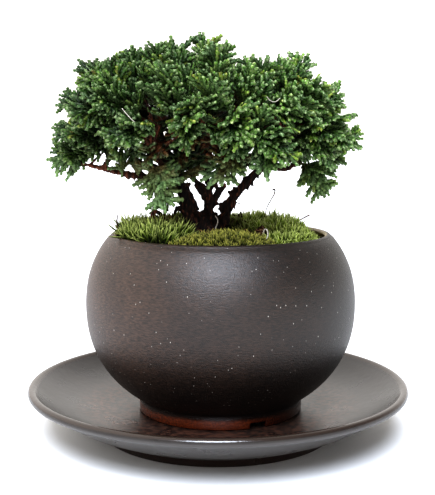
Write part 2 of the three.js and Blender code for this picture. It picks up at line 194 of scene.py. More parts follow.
# The fronds of a spray: where they leave its middle line, their turn in its plane and out of it
# in degrees, their length beside the spray's, and their laterals on either side
FRONDS = (
    {"leaves": 0, "swing": 0, "lift": 6, "size": 1, "left": 4, "right": 4},
    {"leaves": 0.06, "swing": 20, "lift": 34, "size": 0.8, "left": 4, "right": 3},
    {"leaves": 0.12, "swing": -24, "lift": -24, "size": 0.78, "left": 3, "right": 4},
    {"leaves": 0.0, "swing": 26, "lift": -36, "size": 0.56, "left": 3, "right": 2},
    {"leaves": 0.03, "swing": -8, "lift": -62, "size": 0.5, "left": 2, "right": 3},
)

# Knots, broken prongs and dead stubs: from and to where, and their radius at either end
STUBS = (
    ((0.4, 0.0, 88.0), (8.6, 0.0, 98.5), 0.9, 0.7),
    ((-8.0, 0.0, 88.0), (-12.8, 0.0, 99.0), 1.1, 0.8),
    ((-3.8, -1.0, 87.0), (0.6, -1.5, 96.6), 1.5, 1.4),
    ((0.2, -1.4, 95.0), (3.0, -1.8, 98.4), 1.1, 0.7),
    ((-3.8, -1.0, 91.5), (-9.2, -1.0, 98.4), 1.0, 0.9),
    ((-11.0, -2.0, 85.5), (-16.0, -4.0, 89.6), 1.3, 0.9),
    ((-16.0, -4.0, 89.6), (-17.0, -4.6, 87.0), 0.9, 0.6),
    ((-12.0, -1.0, 93.0), (-16.0, -2.0, 94.5), 1.0, 0.4),
    ((1.0, -1.0, 94.5), (-1.0, -2.0, 98.5), 0.9, 0.5),
    ((-7.5, -2.5, 86.0), (-9.0, -5.0, 88.5), 1.4, 0.5),
    ((-2.0, -3.0, 84.0), (-1.5, -5.0, 86.5), 1.2, 0.4),
    ((12.0, 0.0, 99.5), (14.2, -2.0, 97.6), 1.0, 0.4),
    ((-15.0, -1.0, 101.0), (-25.0, 0.5, 105.0), 1.8, 1.3),
    ((-25.0, 0.5, 105.0), (-35.0, 0.0, 108.6), 1.3, 0.8),
    ((-22.0, -0.5, 100.0), (-27.5, 0.0, 105.8), 1.0, 0.7),
    ((-29.0, -1.0, 101.5), (-31.5, 0.0, 107.0), 0.9, 0.6),
)

# Kinds of moss: their name, and their colour at the foot, nearly black as painted shade between the
# shoots, in the middle and at the tip
MOSSES = {
    "hair": ("Hair-cap moss", "#070b01", "#404d0d", "#9aa15f"),
    "cushion": ("Pincushion moss", "#0c0c03", "#46490e", "#8f8a46"),
    "fern": ("Fern moss", "#0b1005", "#84983a", "#dfe3ac"),
    "bright": ("Sheet moss", "#0c1003", "#566317", "#a8b06c"),
}

# The mats: their kind, their share of the shoots of the finest, then the length and width of a
# shoot in millimetres, its splay, the radius of a tuft and the seed
MATS = {
    "moss_left": ("hair", 0.55, 7.2, 1.05, 0.42, 4.0, 11),
    "moss_front": ("cushion", 0.9, 2.9, 0.8, 0.25, 2.2, 12),
    "moss_right": ("bright", 0.5, 4.0, 1.1, 0.35, 2.4, 13),
    "moss_back_right": ("fern", 0.9, 5.4, 0.75, 0.5, 3.4, 14),
    "moss_back_left": ("hair", 0.6, 4.6, 1.1, 0.35, 3.2, 15),
}

# Litter, and how far it is turned at random, in radians
FALLEN_LEAVES = 320
LOOSE_GRAINS = 420
TWIST = 6.28
TUMBLE = 6

# A bent twig and three stalks: their line, and their radius at the foot and at the tip
TWIGS = (
    (((-25, -10, 85.6), (-24.4, -10, 88.2), (-22.6, -10, 88), (-21, -10, 86.2), (-19, -10, 83)),
     0.9, 0.7),
    (((18.6, 10, 83), (19.6, 10, 88), (21.4, 10, 91.6), (22.7, 10, 94.2), (22.6, 10, 95.6),
      (21.8, 10, 95.2)), 0.14, 0.34),
    (((30, 17, 79), (32.4, 17.5, 81.8), (35, 18, 83.2), (37.7, 18, 84.6)), 0.16, 0.3),
    (((-38.2, -8, 79), (-38.8, -8.5, 83.5), (-38.6, -8.6, 87)), 0.3, 0.2),
)

# Root fibres in the moss, and those caught in the crown, which have no depth of their own
FIBRES = (
    (((-1, -8.4, 74.4), (-1, -8.4, 81.5), (-0.1, -8.5, 84.8), (-1.1, -8.2, 86.8)), 0.28, 0.2),
    (((16.6, -21, 80.4), (17.6, -22.4, 83), (18.4, -23, 81.6), (17.6, -23.6, 78.4)), 0.34, 0.28),
)
CAUGHT_FIBRES = (
    (((17.1, 131.2), (18.4, 129.8), (20, 129.4), (21.8, 130.6)), 0.2),
    (((-33, 127), (-31, 124.6), (-29, 122.6), (-27, 121.4)), 0.16),
)

# The camera: its place in metres, how far it looks down in radians, and its lens beside its sensor
EYE = (0, -0.381, 0.122)
EYE_DOWN = 0.127
EYE_SHIFT = -0.001
LENS_SHARE = 975 / 495
SUN_WAY = (0.05, 0.67, -0.73)
SUN_ANGLE = 28
FLOOR_HALF = 6

# What settings of a kind share
COLOUR = {"subtype": "COLOR", "min": 0, "max": 1}
SHARE = {"subtype": "FACTOR", "min": 0, "max": 1}
LENGTH = {"unit": "LENGTH", "subtype": "DISTANCE"}


# ---------------------------------------------------------------- shared tools


def linear(code):
    """An sRGB hex colour as linear red, green and blue."""
    shares = [int(code[i : i + 2], 16) / 255 for i in (1, 3, 5)]
    return tuple(s / 12.92 if s <= 0.04045 else ((s + 0.055) / 1.055) ** 2.4 for s in shares)


def lerp(low, high, share):
    return low + (high - low) * share


def ramped(value, start, end):
    """How far a value has come from start to end, from 0 to 1."""
    return min(1, max(0, (value - start) / (end - start)))


def draw(number):
    """The same draw from 0 to 1 for the same number, each time."""
    scattered = math.sin(number * 12.9898) * 43758.5453
    return scattered - math.floor(scattered)


def between(low, high, number):
    """The same draw between two values for the same number, each time."""
    return lerp(low, high, draw(number))


def feed(node, inputs):
    """Gives a node's inputs their values, or links them to a socket or a node's first output."""
    for key, value in inputs.items():
        socket = node.inputs[key]
        if isinstance(value, bpy.types.Node):
            value = next(output for output in value.outputs if output.enabled)
        if isinstance(value, bpy.types.NodeSocket):
            node.id_data.links.new(value, socket)
        else:
            socket.default_value = (*value, 1) if socket.type == "RGBA" else value


def add_node(tree, kind, inputs=None, stops=(), **settings):
    """One shader node with its settings, its input values or links, and the stops of its ramp."""
    made = tree.nodes.new("ShaderNode" + kind)
    for key, value in settings.items():
        setattr(made, key, value)
    feed(made, inputs or {})
    for i, (place, colour) in enumerate(stops):
        elements = made.color_ramp.elements
        stop = elements[i] if i < 2 else elements.new(place)
        stop.position = place
        stop.color = (*colour, 1)
    return made


def new_material(name):
    """An empty material, what adds nodes to it, its shader, and object coordinates in mm."""
    material = bpy.data.materials.new(name)
    material.use_nodes = True
    material.node_tree.nodes.clear()
    add = partial(add_node, material.node_tree)
    shader = add("BsdfPrincipled")
    add("OutputMaterial", {"Surface": shader})
    place = add("TexCoord").outputs["Object"]
    place = add("Mapping", {"Vector": place, "Scale": (1 / MM,) * 3})
    return material, add, shader, place


def placed(name, data):
    """A new object in the scene."""
    made = bpy.data.objects.new(name, data)
    bpy.context.scene.collection.objects.link(made)
    return made


def dress(mesh, material):
    """Gives a mesh its one finish."""
    mesh.materials.clear()
    mesh.materials.append(material)


def new_piece(name, mesh, material, replaced=()):
    """A finished piece of the object, which rides on its one body."""
    piece = placed(name, mesh)
    dress(mesh, material)
    mesh.shade_smooth()
    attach(piece, "root")
    if replaced:
        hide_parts(*replaced)


def mesh_from(bm, name, scale=MM):
    """A mesh from a bmesh, which is freed. The scale is 1 where it is already in metres."""
    bmesh.ops.scale(bm, vec=(scale,) * 3, verts=bm.verts)
    mesh = bpy.data.meshes.new(name)
    bm.to_mesh(mesh)
    bm.free()
    return mesh


def arc(middle, radius, start, end, steps):
    """Points of an arc, from one angle to another in degrees."""
    angles = np.radians(np.linspace(start, end, steps))
    return [(middle[0] + radius * math.cos(a), middle[1] + radius * math.sin(a)) for a in angles]


def thrown(outline, steps, closed):
    """An outline of (radius, height) points turned about the Z axis."""
    bm = bmesh.new()
    verts = [bm.verts.new((r, 0, z)) for r, z in outline]
    pairs = list(zip(verts, verts[1:]))
    if closed:
        pairs.append((verts[-1], verts[0]))
    edges = [bm.edges.new(pair) for pair in pairs]
    bmesh.ops.spin(
        bm, geom=verts + edges, cent=(0, 0, 0), axis=(0, 0, 1), dvec=(0, 0, 0),
        angle=2 * math.pi, steps=steps, use_merge=True, use_duplicate=False,
    )
    bmesh.ops.remove_doubles(bm, verts=bm.verts, dist=1e-3)
    bmesh.ops.recalc_face_normals(bm, faces=bm.faces)
    return bm


def evaluated(data, *modifiers):
    """The mesh that a mesh or a curve becomes with its modifiers."""
    holder = placed("holder", data)
    for kind, settings in modifiers:
        modifier = holder.modifiers.new(kind, kind)
        for key, value in settings.items():
            setattr(modifier, key, value)
    bpy.context.view_layer.update()
    depsgraph = bpy.context.evaluated_depsgraph_get()
    result = bpy.data.meshes.new_from_object(holder.evaluated_get(depsgraph))
    bpy.data.objects.remove(holder)
    return result


def positions(mesh):
    found = np.empty(len(mesh.vertices) * 3, np.float32)
    mesh.vertices.foreach_get("co", found)
    return found.reshape(-1, 3).astype(float)


# ---------------------------------------------------------------- finishes


def stoneware_glaze(settings):
    """Matt iron glaze on stoneware: a dry charcoal skin with throwing lines, pale ash specks and a
    bare terracotta foot where the glaze was wiped off before firing."""
    material, add, shader, place = new_material("Matt iron glazed stoneware")
    axes = add("SeparateXYZ", {"Vector": place})
    across, height = axes.outputs["X"], axes.outputs["Z"]
    clouds = add("TexNoise", {"Vector": place, "Scale": 0.045, "Detail": 4.0})
    colour = add(
        "ValToRGB", {"Fac": clouds}, [(0.3, linear("#241914")), (0.7, settings.pot_glaze)]
    )
    # painted shade: the glaze is painted darker towards the foot, for the shade under the belly and
    # the dark saucer reflected there
    painted_low_shade = add(
        "MapRange",
        {"Value": height, "From Min": 44.0, "From Max": 19.0, "To Min": 1.0, "To Max": 0.3},
        interpolation_type="SMOOTHSTEP",
    )
    # and is painted paler on the left, as painted light from the window on that side
    pale = add(
        "MapRange",
        {"Value": across, "From Min": -45.0, "From Max": 45.0, "To Min": 1.75, "To Max": 0.3},
    )
    # throwing lines 0.4 mm apart, each a millimetre or two long
    rings = add("Mapping", {"Vector": place, "Scale": (0.6, 0.6, 2.6)})
    rings = add("TexNoise", {"Vector": rings, "Scale": 1.0, "Detail": 3.0})
    lines = add(
        "MapRange",
        {"Value": rings, "From Min": 0.36, "From Max": 0.64, "To Min": 0.45, "To Max": 1.6},
    )
    for share in (painted_low_shade, pale, lines):
        colour = add("VectorMath", {0: colour, "Scale": share}, operation="SCALE")
    # ash specks and short scratches of 0.2 to 0.4 mm
    slanted = add(
        "Mapping", {"Vector": place, "Rotation": (0.5, 0.6, 0.3), "Scale": (1.0, 1.0, 0.5)}
    )
    specks = add("TexVoronoi", {"Vector": slanted, "Scale": 0.7})
    near = add("MapRange", {"Value": specks, "From Min": 0.12, "From Max": 0.04})
    chosen = add("SeparateColor", {"Color": specks.outputs["Color"]})
    chosen = add("Math", {0: chosen, 1: 0.6}, operation="GREATER_THAN")
    speck = add("Math", {0: near, 1: chosen}, operation="MULTIPLY")
    # the glaze line wanders round the foot, which is bare clay
    wander = add("TexNoise", {"Vector": place, "Scale": 0.12, "Detail": 2.0})
    line = add("Math", {0: wander, 1: 1.2, 2: height}, operation="MULTIPLY_ADD")
    bare = add("MapRange", {"Value": line, "From Min": 15.0, "From Max": 14.2})
    grog = add("TexNoise", {"Vector": place, "Scale": 1.4, "Detail": 3.0})
    clay = add("ValToRGB", {"Fac": grog}, [(0.3, linear("#4c210e")), (0.7, settings.bare_clay)])
    # painted shade: the clay is painted dark at its neck, in the shade under the belly, and on the
    # right, away from the window
    painted_foot_shade = add(
        "MapRange",
        {"Value": line, "From Min": 12.6, "From Max": 14.0, "To Min": 1.0, "To Max": 0.1},
    )
    painted_right_shade = add(
        "MapRange",
        {"Value": across, "From Min": 8.0, "From Max": 22.0, "To Min": 1.0, "To Max": 0.35},
    )
    painted_foot_shade = add("Math", {0: painted_foot_shade, 1: painted_right_shade}, operation="MULTIPLY")
    clay = add("VectorMath", {0: clay, "Scale": painted_foot_shade}, operation="SCALE")
    # inside, where the wall faces the axis above the floor, the glaze is thin and tan, and the tan is
    # painted pale as painted light where the window lights the inner wall
    flat = add("VectorMath", {0: place, 1: (POT_X, 0, 0)}, operation="SUBTRACT")
    flat = add("VectorMath", {0: flat, 1: (1, 1, 0)}, operation="MULTIPLY")
    facing = add("NewGeometry").outputs["Normal"]
    facing = add("VectorMath", {0: flat, 1: facing}, operation="DOT_PRODUCT")
    tan_and_lit_inner_wall = add("MapRange", {"Value": facing, "From Min": -4.0, "From Max": -20.0})
    above = add("Math", {0: height, 1: float(POT_FLOOR)}, operation="GREATER_THAN")
    tan_and_lit_inner_wall = add("Math", {0: tan_and_lit_inner_wall, 1: above}, operation="MULTIPLY")
    for where, paint in ((speck, linear("#c9c4bb")), (bare, clay), (tan_and_lit_inner_wall, linear("#b09a72"))):
        colour = add("Mix", {0: where, 6: colour, 7: paint}, data_type="RGBA")
    # a grain of 0.4 mm breaks the highlight up
    grain = add("TexNoise", {"Vector": place, "Scale": 2.6, "Detail": 2.0})
    relief = add("Math", {0: rings, 1: 0.8, 2: grain}, operation="MULTIPLY_ADD")
    bump = add("Bump", {"Height": relief, "Strength": 0.55, "Distance": 0.0002})
    # the foot is wet from the saucer
    dull = add("MapRange", {"Value": bare, "To Min": settings.pot_roughness, "To Max": 0.25})
    feed(shader, {"Base Color": colour, "Normal": bump, "Roughness": dull})
    shader.inputs["IOR"].default_value = 1.42
    shader.inputs["Specular IOR Level"].default_value = 1.0
    return material


def saucer_glaze(settings):
    """Glossy tenmoku glaze: nearly black where it pools, rusty in the well, brown where it breaks
    over the rim, and bare dark clay on the foot ring."""
    material, add, shader, place = new_material("Glossy tenmoku glazed stoneware")
    height = add("SeparateXYZ", {"Vector": place}).outputs["Z"]
    flat = add("VectorMath", {0: place, 1: (1, 1, 0)}, operation="MULTIPLY")
    radius = add("VectorMath", {0: flat}, operation="LENGTH")
    clouds = add("TexNoise", {"Vector": place, "Scale": 0.08, "Detail": 5.0})
    colour = add(
        "ValToRGB", {"Fac": clouds}, [(0.35, linear("#211c1b")), (0.7, settings.saucer_glaze)]
    )
    # rust mottling in the well, where the glaze is thin
    well = add("MapRange", {"Value": radius, "From Min": 58.0, "From Max": 46.0})
    mottle = add("TexNoise", {"Vector": place, "Scale": 0.5, "Detail": 4.0})
    mottle = add("MapRange", {"Value": mottle, "From Min": 0.42, "From Max": 0.62})
    rusty = add("Math", {0: well, 1: mottle}, operation="MULTIPLY")
    # the glaze breaks on the crest of the rim alone
    crest = add("Math", {0: clouds, 1: 0.8, 2: height}, operation="MULTIPLY_ADD")
    rim = add("MapRange", {"Value": crest, "From Min": 19.2, "From Max": 19.8})
    # painted reflection: it is painted greyer underneath, for the white floor reflected there, and the
    # foot ring has none
    facing = add("NewGeometry").outputs["Normal"]
    facing = add("SeparateXYZ", {"Vector": facing}).outputs["Z"]
    painted_floor_reflection = add("MapRange", {"Value": facing, "From Min": 0.05, "From Max": -0.25})
    foot = add("MapRange", {"Value": height, "From Min": 3.2, "From Max": 2.8})
    layers = (
        (rusty, linear("#5a4136")), (rim, settings.saucer_rim), (painted_floor_reflection, linear("#494543")),
        (foot, linear("#2a1a13")),
    )
    for where, paint in layers:
        colour = add("Mix", {0: where, 6: colour, 7: paint}, data_type="RGBA")
    # an orange-peel skin of about 3 mm waves, with pinholes of 0.5 mm in the well
    skin = add("TexNoise", {"Vector": place, "Scale": 0.35, "Detail": 3.0})
    pits = add("TexNoise", {"Vector": place, "Scale": 2.0, "Detail": 1.0})
    skin = add("Math", {0: pits, 1: well, 2: skin}, operation="MULTIPLY_ADD")
    bump = add("Bump", {"Height": skin, "Strength": 0.25, "Distance": 0.0003})
    rough = add("MapRange", {"Value": clouds, "To Min": 0.22, "To Max": settings.saucer_roughness})
    rough = add("Mix", {0: rim, 2: rough, 3: settings.rim_roughness})
    feed(shader, {"Base Color": colour, "Normal": bump, "Roughness": rough})
    shader.inputs["IOR"].default_value = 1.64
    return material


def scale_leaves(settings):
    """Hinoki scale leaves: waxy deep green, paler at the growing tips, some bronzed, painted darker
    deep in the crown as painted shade, with a pale bloom on the undersides."""
    material, add, shader, place = new_material("Hinoki scale leaves")
    growth = add("Attribute", attribute_name="growth")
    parts = add("SeparateColor", {"Color": growth.outputs["Color"]})
    tip, tone, outer = (parts.outputs[i] for i in range(3))
    axes = add("SeparateXYZ", {"Vector": place})
    across, height = axes.outputs["X"], axes.outputs["Z"]
    fresh = add("ValToRGB", {"Fac": tone}, [
        (0.0, settings.leaf_dark), (0.45, settings.leaf_green), (0.8, linear("#598425")),
        (1.0, linear("#779438")),
    ])
    # the end of a branchlet is young, and every scale has a pale edge, 0.8 mm from the next
    young = add(
        "MapRange",
        {"Value": tip, "From Min": 0.2, "From Max": 1.0, "To Min": 0.12, "To Max": 1.0},
    )
    edges = add("TexNoise", {"Vector": place, "Scale": 1.3, "Detail": 2.0})
    edges = add(
        "MapRange",
        {"Value": edges, "From Min": 0.44, "From Max": 0.62, "To Min": 0.12, "To Max": 0.95},
    )
    young = add("Math", {0: young, 1: edges}, operation="MULTIPLY")
    # most tips are pale and grey green, some yellow, a few bronzed by the cold
    tips = add("ValToRGB", {"Fac": tone}, [
        (0.0, linear("#9aae84")), (0.7, settings.leaf_tip), (0.92, linear("#a6a660")),
        (1.0, linear("#7a553a")),
    ])
    woody = add("MapRange", {"Value": growth.outputs["Alpha"], "To Max": 0.85})
    colour = add("Mix", {0: young, 6: fresh, 7: tips}, data_type="RGBA")
    colour = add("Mix", {0: woody, 6: colour, 7: settings.leaf_bronze}, data_type="RGBA")
    # scales of about 1 mm, each painted darker towards its edge as painted shade between the scales
    scales = add("TexVoronoi", {"Vector": place, "Scale": 1.0})
    painted_scale_shade = add("MapRange", {"Value": scales, "From Max": 0.8, "To Min": 1.45, "To Max": 0.4})
    # painted shade: leaves deep inside the crown are painted darker, where the crown shades itself
    inner = add("MapRange", {"Value": outer, "To Min": 0.15, "To Max": 1.0})
    # a branchlet's foot is shaded by its neighbours
    foot = add(
        "MapRange",
        {"Value": tip, "From Min": 0.05, "From Max": 0.95, "To Min": 0.02, "To Max": 1.1},
    )
    # painted shade: the sprays under the dome are painted darker, as in its shade, and as painted
    # light from the side, those on the left darker and those on the right lighter
    dome = add(
        "MapRange",
        {"Value": height, "From Min": 110.0, "From Max": 136.0, "To Min": 0.8, "To Max": 1.0},
    )
    painted_side_light = add(
        "MapRange",
        {"Value": across, "From Min": -45.0, "From Max": 30.0, "To Min": 0.82, "To Max": 1.25},
    )
    shade = painted_scale_shade
    for share in (inner, foot, dome, painted_side_light):
        shade = add("Math", {0: shade, 1: share}, operation="MULTIPLY")
    colour = add("VectorMath", {0: colour, "Scale": shade}, operation="SCALE")
    # patches of the inner growth are dead and brown
    dead = add("MapRange", {"Value": outer, "From Min": 0.75, "From Max": 0.25})
    patches = add("TexNoise", {"Vector": place, "Scale": 0.13, "Detail": 2.0})
    patches = add("MapRange", {"Value": patches, "From Min": 0.45, "From Max": 0.56})
    dead = add("Math", {0: dead, 1: patches}, operation="MULTIPLY")
    brown = add("VectorMath", {0: linear("#6b4028"), "Scale": painted_scale_shade}, operation="SCALE")
    colour = add("Mix", {0: dead, 6: colour, 7: brown}, data_type="RGBA")
    # the bloom is on the undersides, and most of all on the lowest sprays on the left
    facing = add("NewGeometry").outputs["Normal"]
    facing = add("SeparateXYZ", {"Vector": facing}).outputs["Z"]
    bloom = add("MapRange", {"Value": facing, "From Min": 0.0, "From Max": -0.9, "To Max": 0.3})
    low = add(
        "MapRange",
        {"Value": height, "From Min": 110.0, "From Max": 100.0, "To Max": settings.low_bloom},
    )
    left = add(
        "MapRange",
        {"Value": across, "From Min": 8.0, "From Max": 30.0, "To Min": 1.0, "To Max": 0.5},
    )
    for share in (left, painted_scale_shade):
        low = add("Math", {0: low, 1: share}, operation="MULTIPLY")
    bloom = add("Math", {0: bloom, 1: low}, operation="ADD")
    colour = add("Mix", {0: bloom, 6: colour, 7: linear("#8fac78")}, data_type="RGBA")
    bump = add("Bump", {"Height": scales, "Strength": 0.5, "Distance": 0.0003})
    feed(shader, {"Base Color": colour, "Normal": bump})
    shader.inputs["Roughness"].default_value = 0.45
    shader.inputs["IOR"].default_value = 1.45
    shader.inputs["Specular IOR Level"].default_value = 0.25
    return material


def from_trunk(add, place):
    """How far a point is from the trunk's axis, in millimetres."""
    flat = add("VectorMath", {0: place, 1: (1, 1, 0)}, operation="MULTIPLY")
    return add("VectorMath", {0: flat, 1: (TRUNK_X, 0, 0)}, operation="DISTANCE")


def bark(settings):
    """Old hinoki bark: stringy, nearly black at the trunk, red brown on the younger limbs."""
    material, add, shader, place = new_material("Stringy cypress bark")
    height = add("SeparateXYZ", {"Vector": place}).outputs["Z"]
    # fibres run up the trunk, about 1 mm apart
    fibres = add("Mapping", {"Vector": place, "Scale": (0.9, 0.9, 0.25)})
    fibres = add("TexNoise", {"Vector": fibres, "Scale": 1.0, "Detail": 5.0})
    old = add("ValToRGB", {"Fac": fibres}, [
        (0.35, linear("#100806")), (0.56, settings.bark_dark), (0.72, linear("#784834")),
    ])
    red = add("ValToRGB", {"Fac": fibres}, [(0.35, linear("#2a1510")), (0.7, settings.bark_red)])
    # it is young high up and far out
    high = add("MapRange", {"Value": height, "From Min": 102.0, "From Max": 114.0})
    far = add(
        "MapRange", {"Value": from_trunk(add, place), "From Min": 20.0, "From Max": 42.0}
    )
    young = add("Math", {0: high, 1: far}, operation="MAXIMUM")
    colour = add("Mix", {0: young, 6: old, 7: red}, data_type="RGBA")
    bump = add("Bump", {"Height": fibres, "Strength": 0.8, "Distance": 0.0006})
    feed(shader, {"Base Color": colour, "Normal": bump})
    shader.inputs["Roughness"].default_value = 0.85
    return material


def torn_bark():
    """A flake torn from the trunk: dark outside, light brown where it tore."""
    material, add, shader, place = new_material("Torn bark")
    # fibres of about 0.8 mm
    fibres = add("TexNoise", {"Vector": place, "Scale": 0.9, "Detail": 3.0})
    colour = add("ValToRGB", {"Fac": fibres}, [
        (0.38, linear("#2a150d")), (0.52, linear("#5e3a26")), (0.62, linear("#b08a6c")),
    ])
    bump = add("Bump", {"Height": fibres, "Strength": 0.8, "Distance": 0.0006})
    feed(shader, {"Base Color": colour, "Normal": bump})
    shader.inputs["Roughness"].default_value = 0.85
    return material


def moss_leaf(name, low, middle, tip):
    """Moss shoots: soft and matt, dark at the foot, painted nearly black as painted shade between the
    shoots, and pale at the tip.
    """
    material, add, shader, place = new_material(name)
    growth = add("Attribute", attribute_name="growth").outputs["Color"]
    along, tone = add("SeparateColor", {"Color": growth}).outputs[:2]
    # painted shade: the foot of each shoot is nearly black, for the shade between the shoots
    colour = add("ValToRGB", {"Fac": along}, [(0.2, low), (0.66, middle), (1.0, tip)])
    patches = add("TexNoise", {"Vector": place, "Scale": 0.16, "Detail": 2.0})
    tone = add("Math", {0: patches, 1: tone}, operation="ADD")
    tone = add(
        "MapRange",
        {"Value": tone, "From Min": 0.4, "From Max": 1.5, "To Min": 0.45, "To Max": 1.9},
    )
    colour = add("VectorMath", {0: colour, "Scale": tone}, operation="SCALE")
    # round the trunk the moss is painted dark brown: partly old, sparse brown moss, partly painted
    # shade under the crown
    away = add(
        "Math", {0: patches, 1: 9.0, 2: from_trunk(add, place)}, operation="MULTIPLY_ADD"
    )
    old = add("MapRange", {"Value": away, "From Min": 24.0, "From Max": 15.0, "To Max": 0.85})
    colour = add("Mix", {0: old, 6: colour, 7: linear("#33230f")}, data_type="RGBA")
    feed(shader, {"Base Color": colour})
    shader.inputs["Roughness"].default_value = 0.7
    return material


def fired_clay_grains():
    """Akadama: moist fired clay grains of 1 to 3 mm, matt red brown."""
    material, add, shader, place = new_material("Akadama clay grains")
    grains = add("TexVoronoi", {"Vector": place, "Scale": 0.55})
    # painted shade: each grain is painted dark towards its edge, for the shade in the gaps between
    # grains
    colour = add("ValToRGB", {"Fac": grains}, [
        (0.0, linear("#6e4a33")), (0.45, linear("#4a3022")), (0.8, linear("#1d120c")),
    ])
    bump = add("Bump", {"Height": grains, "Strength": 1.0, "Distance": 0.001}, invert=True)
    feed(shader, {"Base Color": colour, "Normal": bump})
    shader.inputs["Roughness"].default_value = 0.95
    return material


def moulded_net():
    """Injection moulded polyethylene net: dark, slightly waxy, with faint flow marks."""
    material, add, shader, place = new_material("Moulded polyethylene net")
    marks = add("TexNoise", {"Vector": place, "Scale": 0.8, "Detail": 2.0})
    colour = add("ValToRGB", {"Fac": marks}, [(0.3, linear("#232625")), (0.7, linear("#333735"))])
    feed(shader, {"Base Color": colour})
    shader.inputs["Roughness"].default_value = 0.55
    return material


def root_thread():
    """Dry root fibre: off-white and matt."""
    material, add, shader, place = new_material("Dry root fibre")
    fibre = add("TexNoise", {"Vector": place, "Scale": 1.5, "Detail": 2.0})
    colour = add("ValToRGB", {"Fac": fibre}, [(0.3, linear("#8f8478")), (0.7, linear("#d8d2c8"))])
    feed(shader, {"Base Color": colour})
    shader.inputs["Roughness"].default_value = 0.8
    return material


def dry_leaves():
    """Fallen hinoki branchlets: dull red brown, a few bleached."""
    material, add, shader, _ = new_material("Dry hinoki leaves")
    growth = add("Attribute", attribute_name="growth").outputs["Color"]
    tone = add("SeparateColor", {"Color": growth}).outputs[1]
    colour = add("ValToRGB", {"Fac": tone}, [
        (0.0, linear("#2c1a10")), (0.6, linear("#5d3a20")), (1.0, linear("#93714a")),
    ])
    feed(shader, {"Base Color": colour})
    shader.inputs["Roughness"].default_value = 0.8
    return material


def studio_floor(settings):
    """Matt white paper sweep."""
    material, add, shader, place = new_material("Matt paper sweep")
    tone = add("TexNoise", {"Vector": place, "Scale": 0.004})
    colour = add("ValToRGB", {"Fac": tone}, [(0.0, settings.floor_colour), (1.0, linear("#f6f6f6"))])
    feed(shader, {"Base Color": colour})
    shader.inputs["Roughness"].default_value = 0.9
    return material


# ---------------------------------------------------------------- forms


def pot_radius(z):
    """Outer radius of the pot at a height."""
    rise = RISE_ABOVE if z > BELLY_HEIGHT else RISE_BELOW
    share = abs(z - BELLY_HEIGHT) / rise
    return BELLY_RADIUS * (1 - share**FULLNESS) ** (1 / FULLNESS)


def pot_mesh(sides):
    """The pot: foot ring, neck, belly, rolled rim and inner wall, with its drain notches cut."""
    foot_inner = POT_FOOT_RADIUS - POT_FOOT_WIDTH
    rim_outer = pot_radius(RIM_HEIGHT)
    lip = WALL / 2 - 0.2
    outline = [
        (DRAIN_RADIUS, POT_BASE),
        (foot_inner - 1.5, POT_BASE),
        (foot_inner - 0.3, POT_BASE - 1),
        (foot_inner, SAUCER_FLOOR + 0.4),
        (foot_inner + 0.5, SAUCER_FLOOR),
        (POT_FOOT_RADIUS - 1.1, SAUCER_FLOOR),
        (POT_FOOT_RADIUS - 0.5, SAUCER_FLOOR + 0.5),
        (POT_FOOT_RADIUS - 0.4, POT_NECK_HEIGHT - 2.4),
        (POT_FOOT_RADIUS - 0.4, POT_NECK_HEIGHT - 1.2),
        (POT_FOOT_RADIUS - 0.3, POT_NECK_HEIGHT - 0.3),
        (POT_FOOT_RADIUS + 0.2, POT_NECK_HEIGHT + 0.3),
        *((pot_radius(z), z) for z in np.linspace(POT_NECK_HEIGHT + 1.2, RIM_HEIGHT - 1.4, 48)),
        *arc((rim_outer - lip + 0.5, RIM_HEIGHT - lip), lip, 20, 170, 9),
        *((pot_radius(z) - WALL, z) for z in np.linspace(RIM_HEIGHT - 3, POT_FLOOR + 3, 28)),
        (pot_radius(POT_FLOOR) - WALL - 4, POT_FLOOR),
        (DRAIN_RADIUS, POT_FLOOR),
    ]
    pot = mesh_from(thrown(outline, sides, True), "pot", 1)
    for turn in NOTCH_TURNS:
        cutter = bmesh.new()
        bmesh.ops.create_cube(cutter, size=1)
        bmesh.ops.scale(
            cutter, vec=(POT_FOOT_WIDTH * 3, NOTCH_WIDTH, NOTCH_HEIGHT * 2), verts=cutter.verts
        )
        bmesh.ops.bevel(
            cutter, geom=cutter.edges[:], offset=0.8, segments=3, profile=0.5, affect="EDGES",
            material=-1,
        )
        bmesh.ops.translate(cutter, vec=(POT_FOOT_RADIUS, 0, SAUCER_FLOOR), verts=cutter.verts)
        bmesh.ops.rotate(
            cutter, cent=(0, 0, 0), matrix=Matrix.Rotation(math.radians(turn), 3, "Z"),
            verts=cutter.verts,
        )
        knife = placed("notch", mesh_from(cutter, "notch", 1))
        pot = evaluated(pot, ("BOOLEAN", {"object": knife, "operation": "DIFFERENCE"}))
        bpy.data.objects.remove(knife)
    pot.transform(Matrix.Translation((POT_X, 0, 0)))
    pot.transform(Matrix.Scale(MM, 4))
    return pot


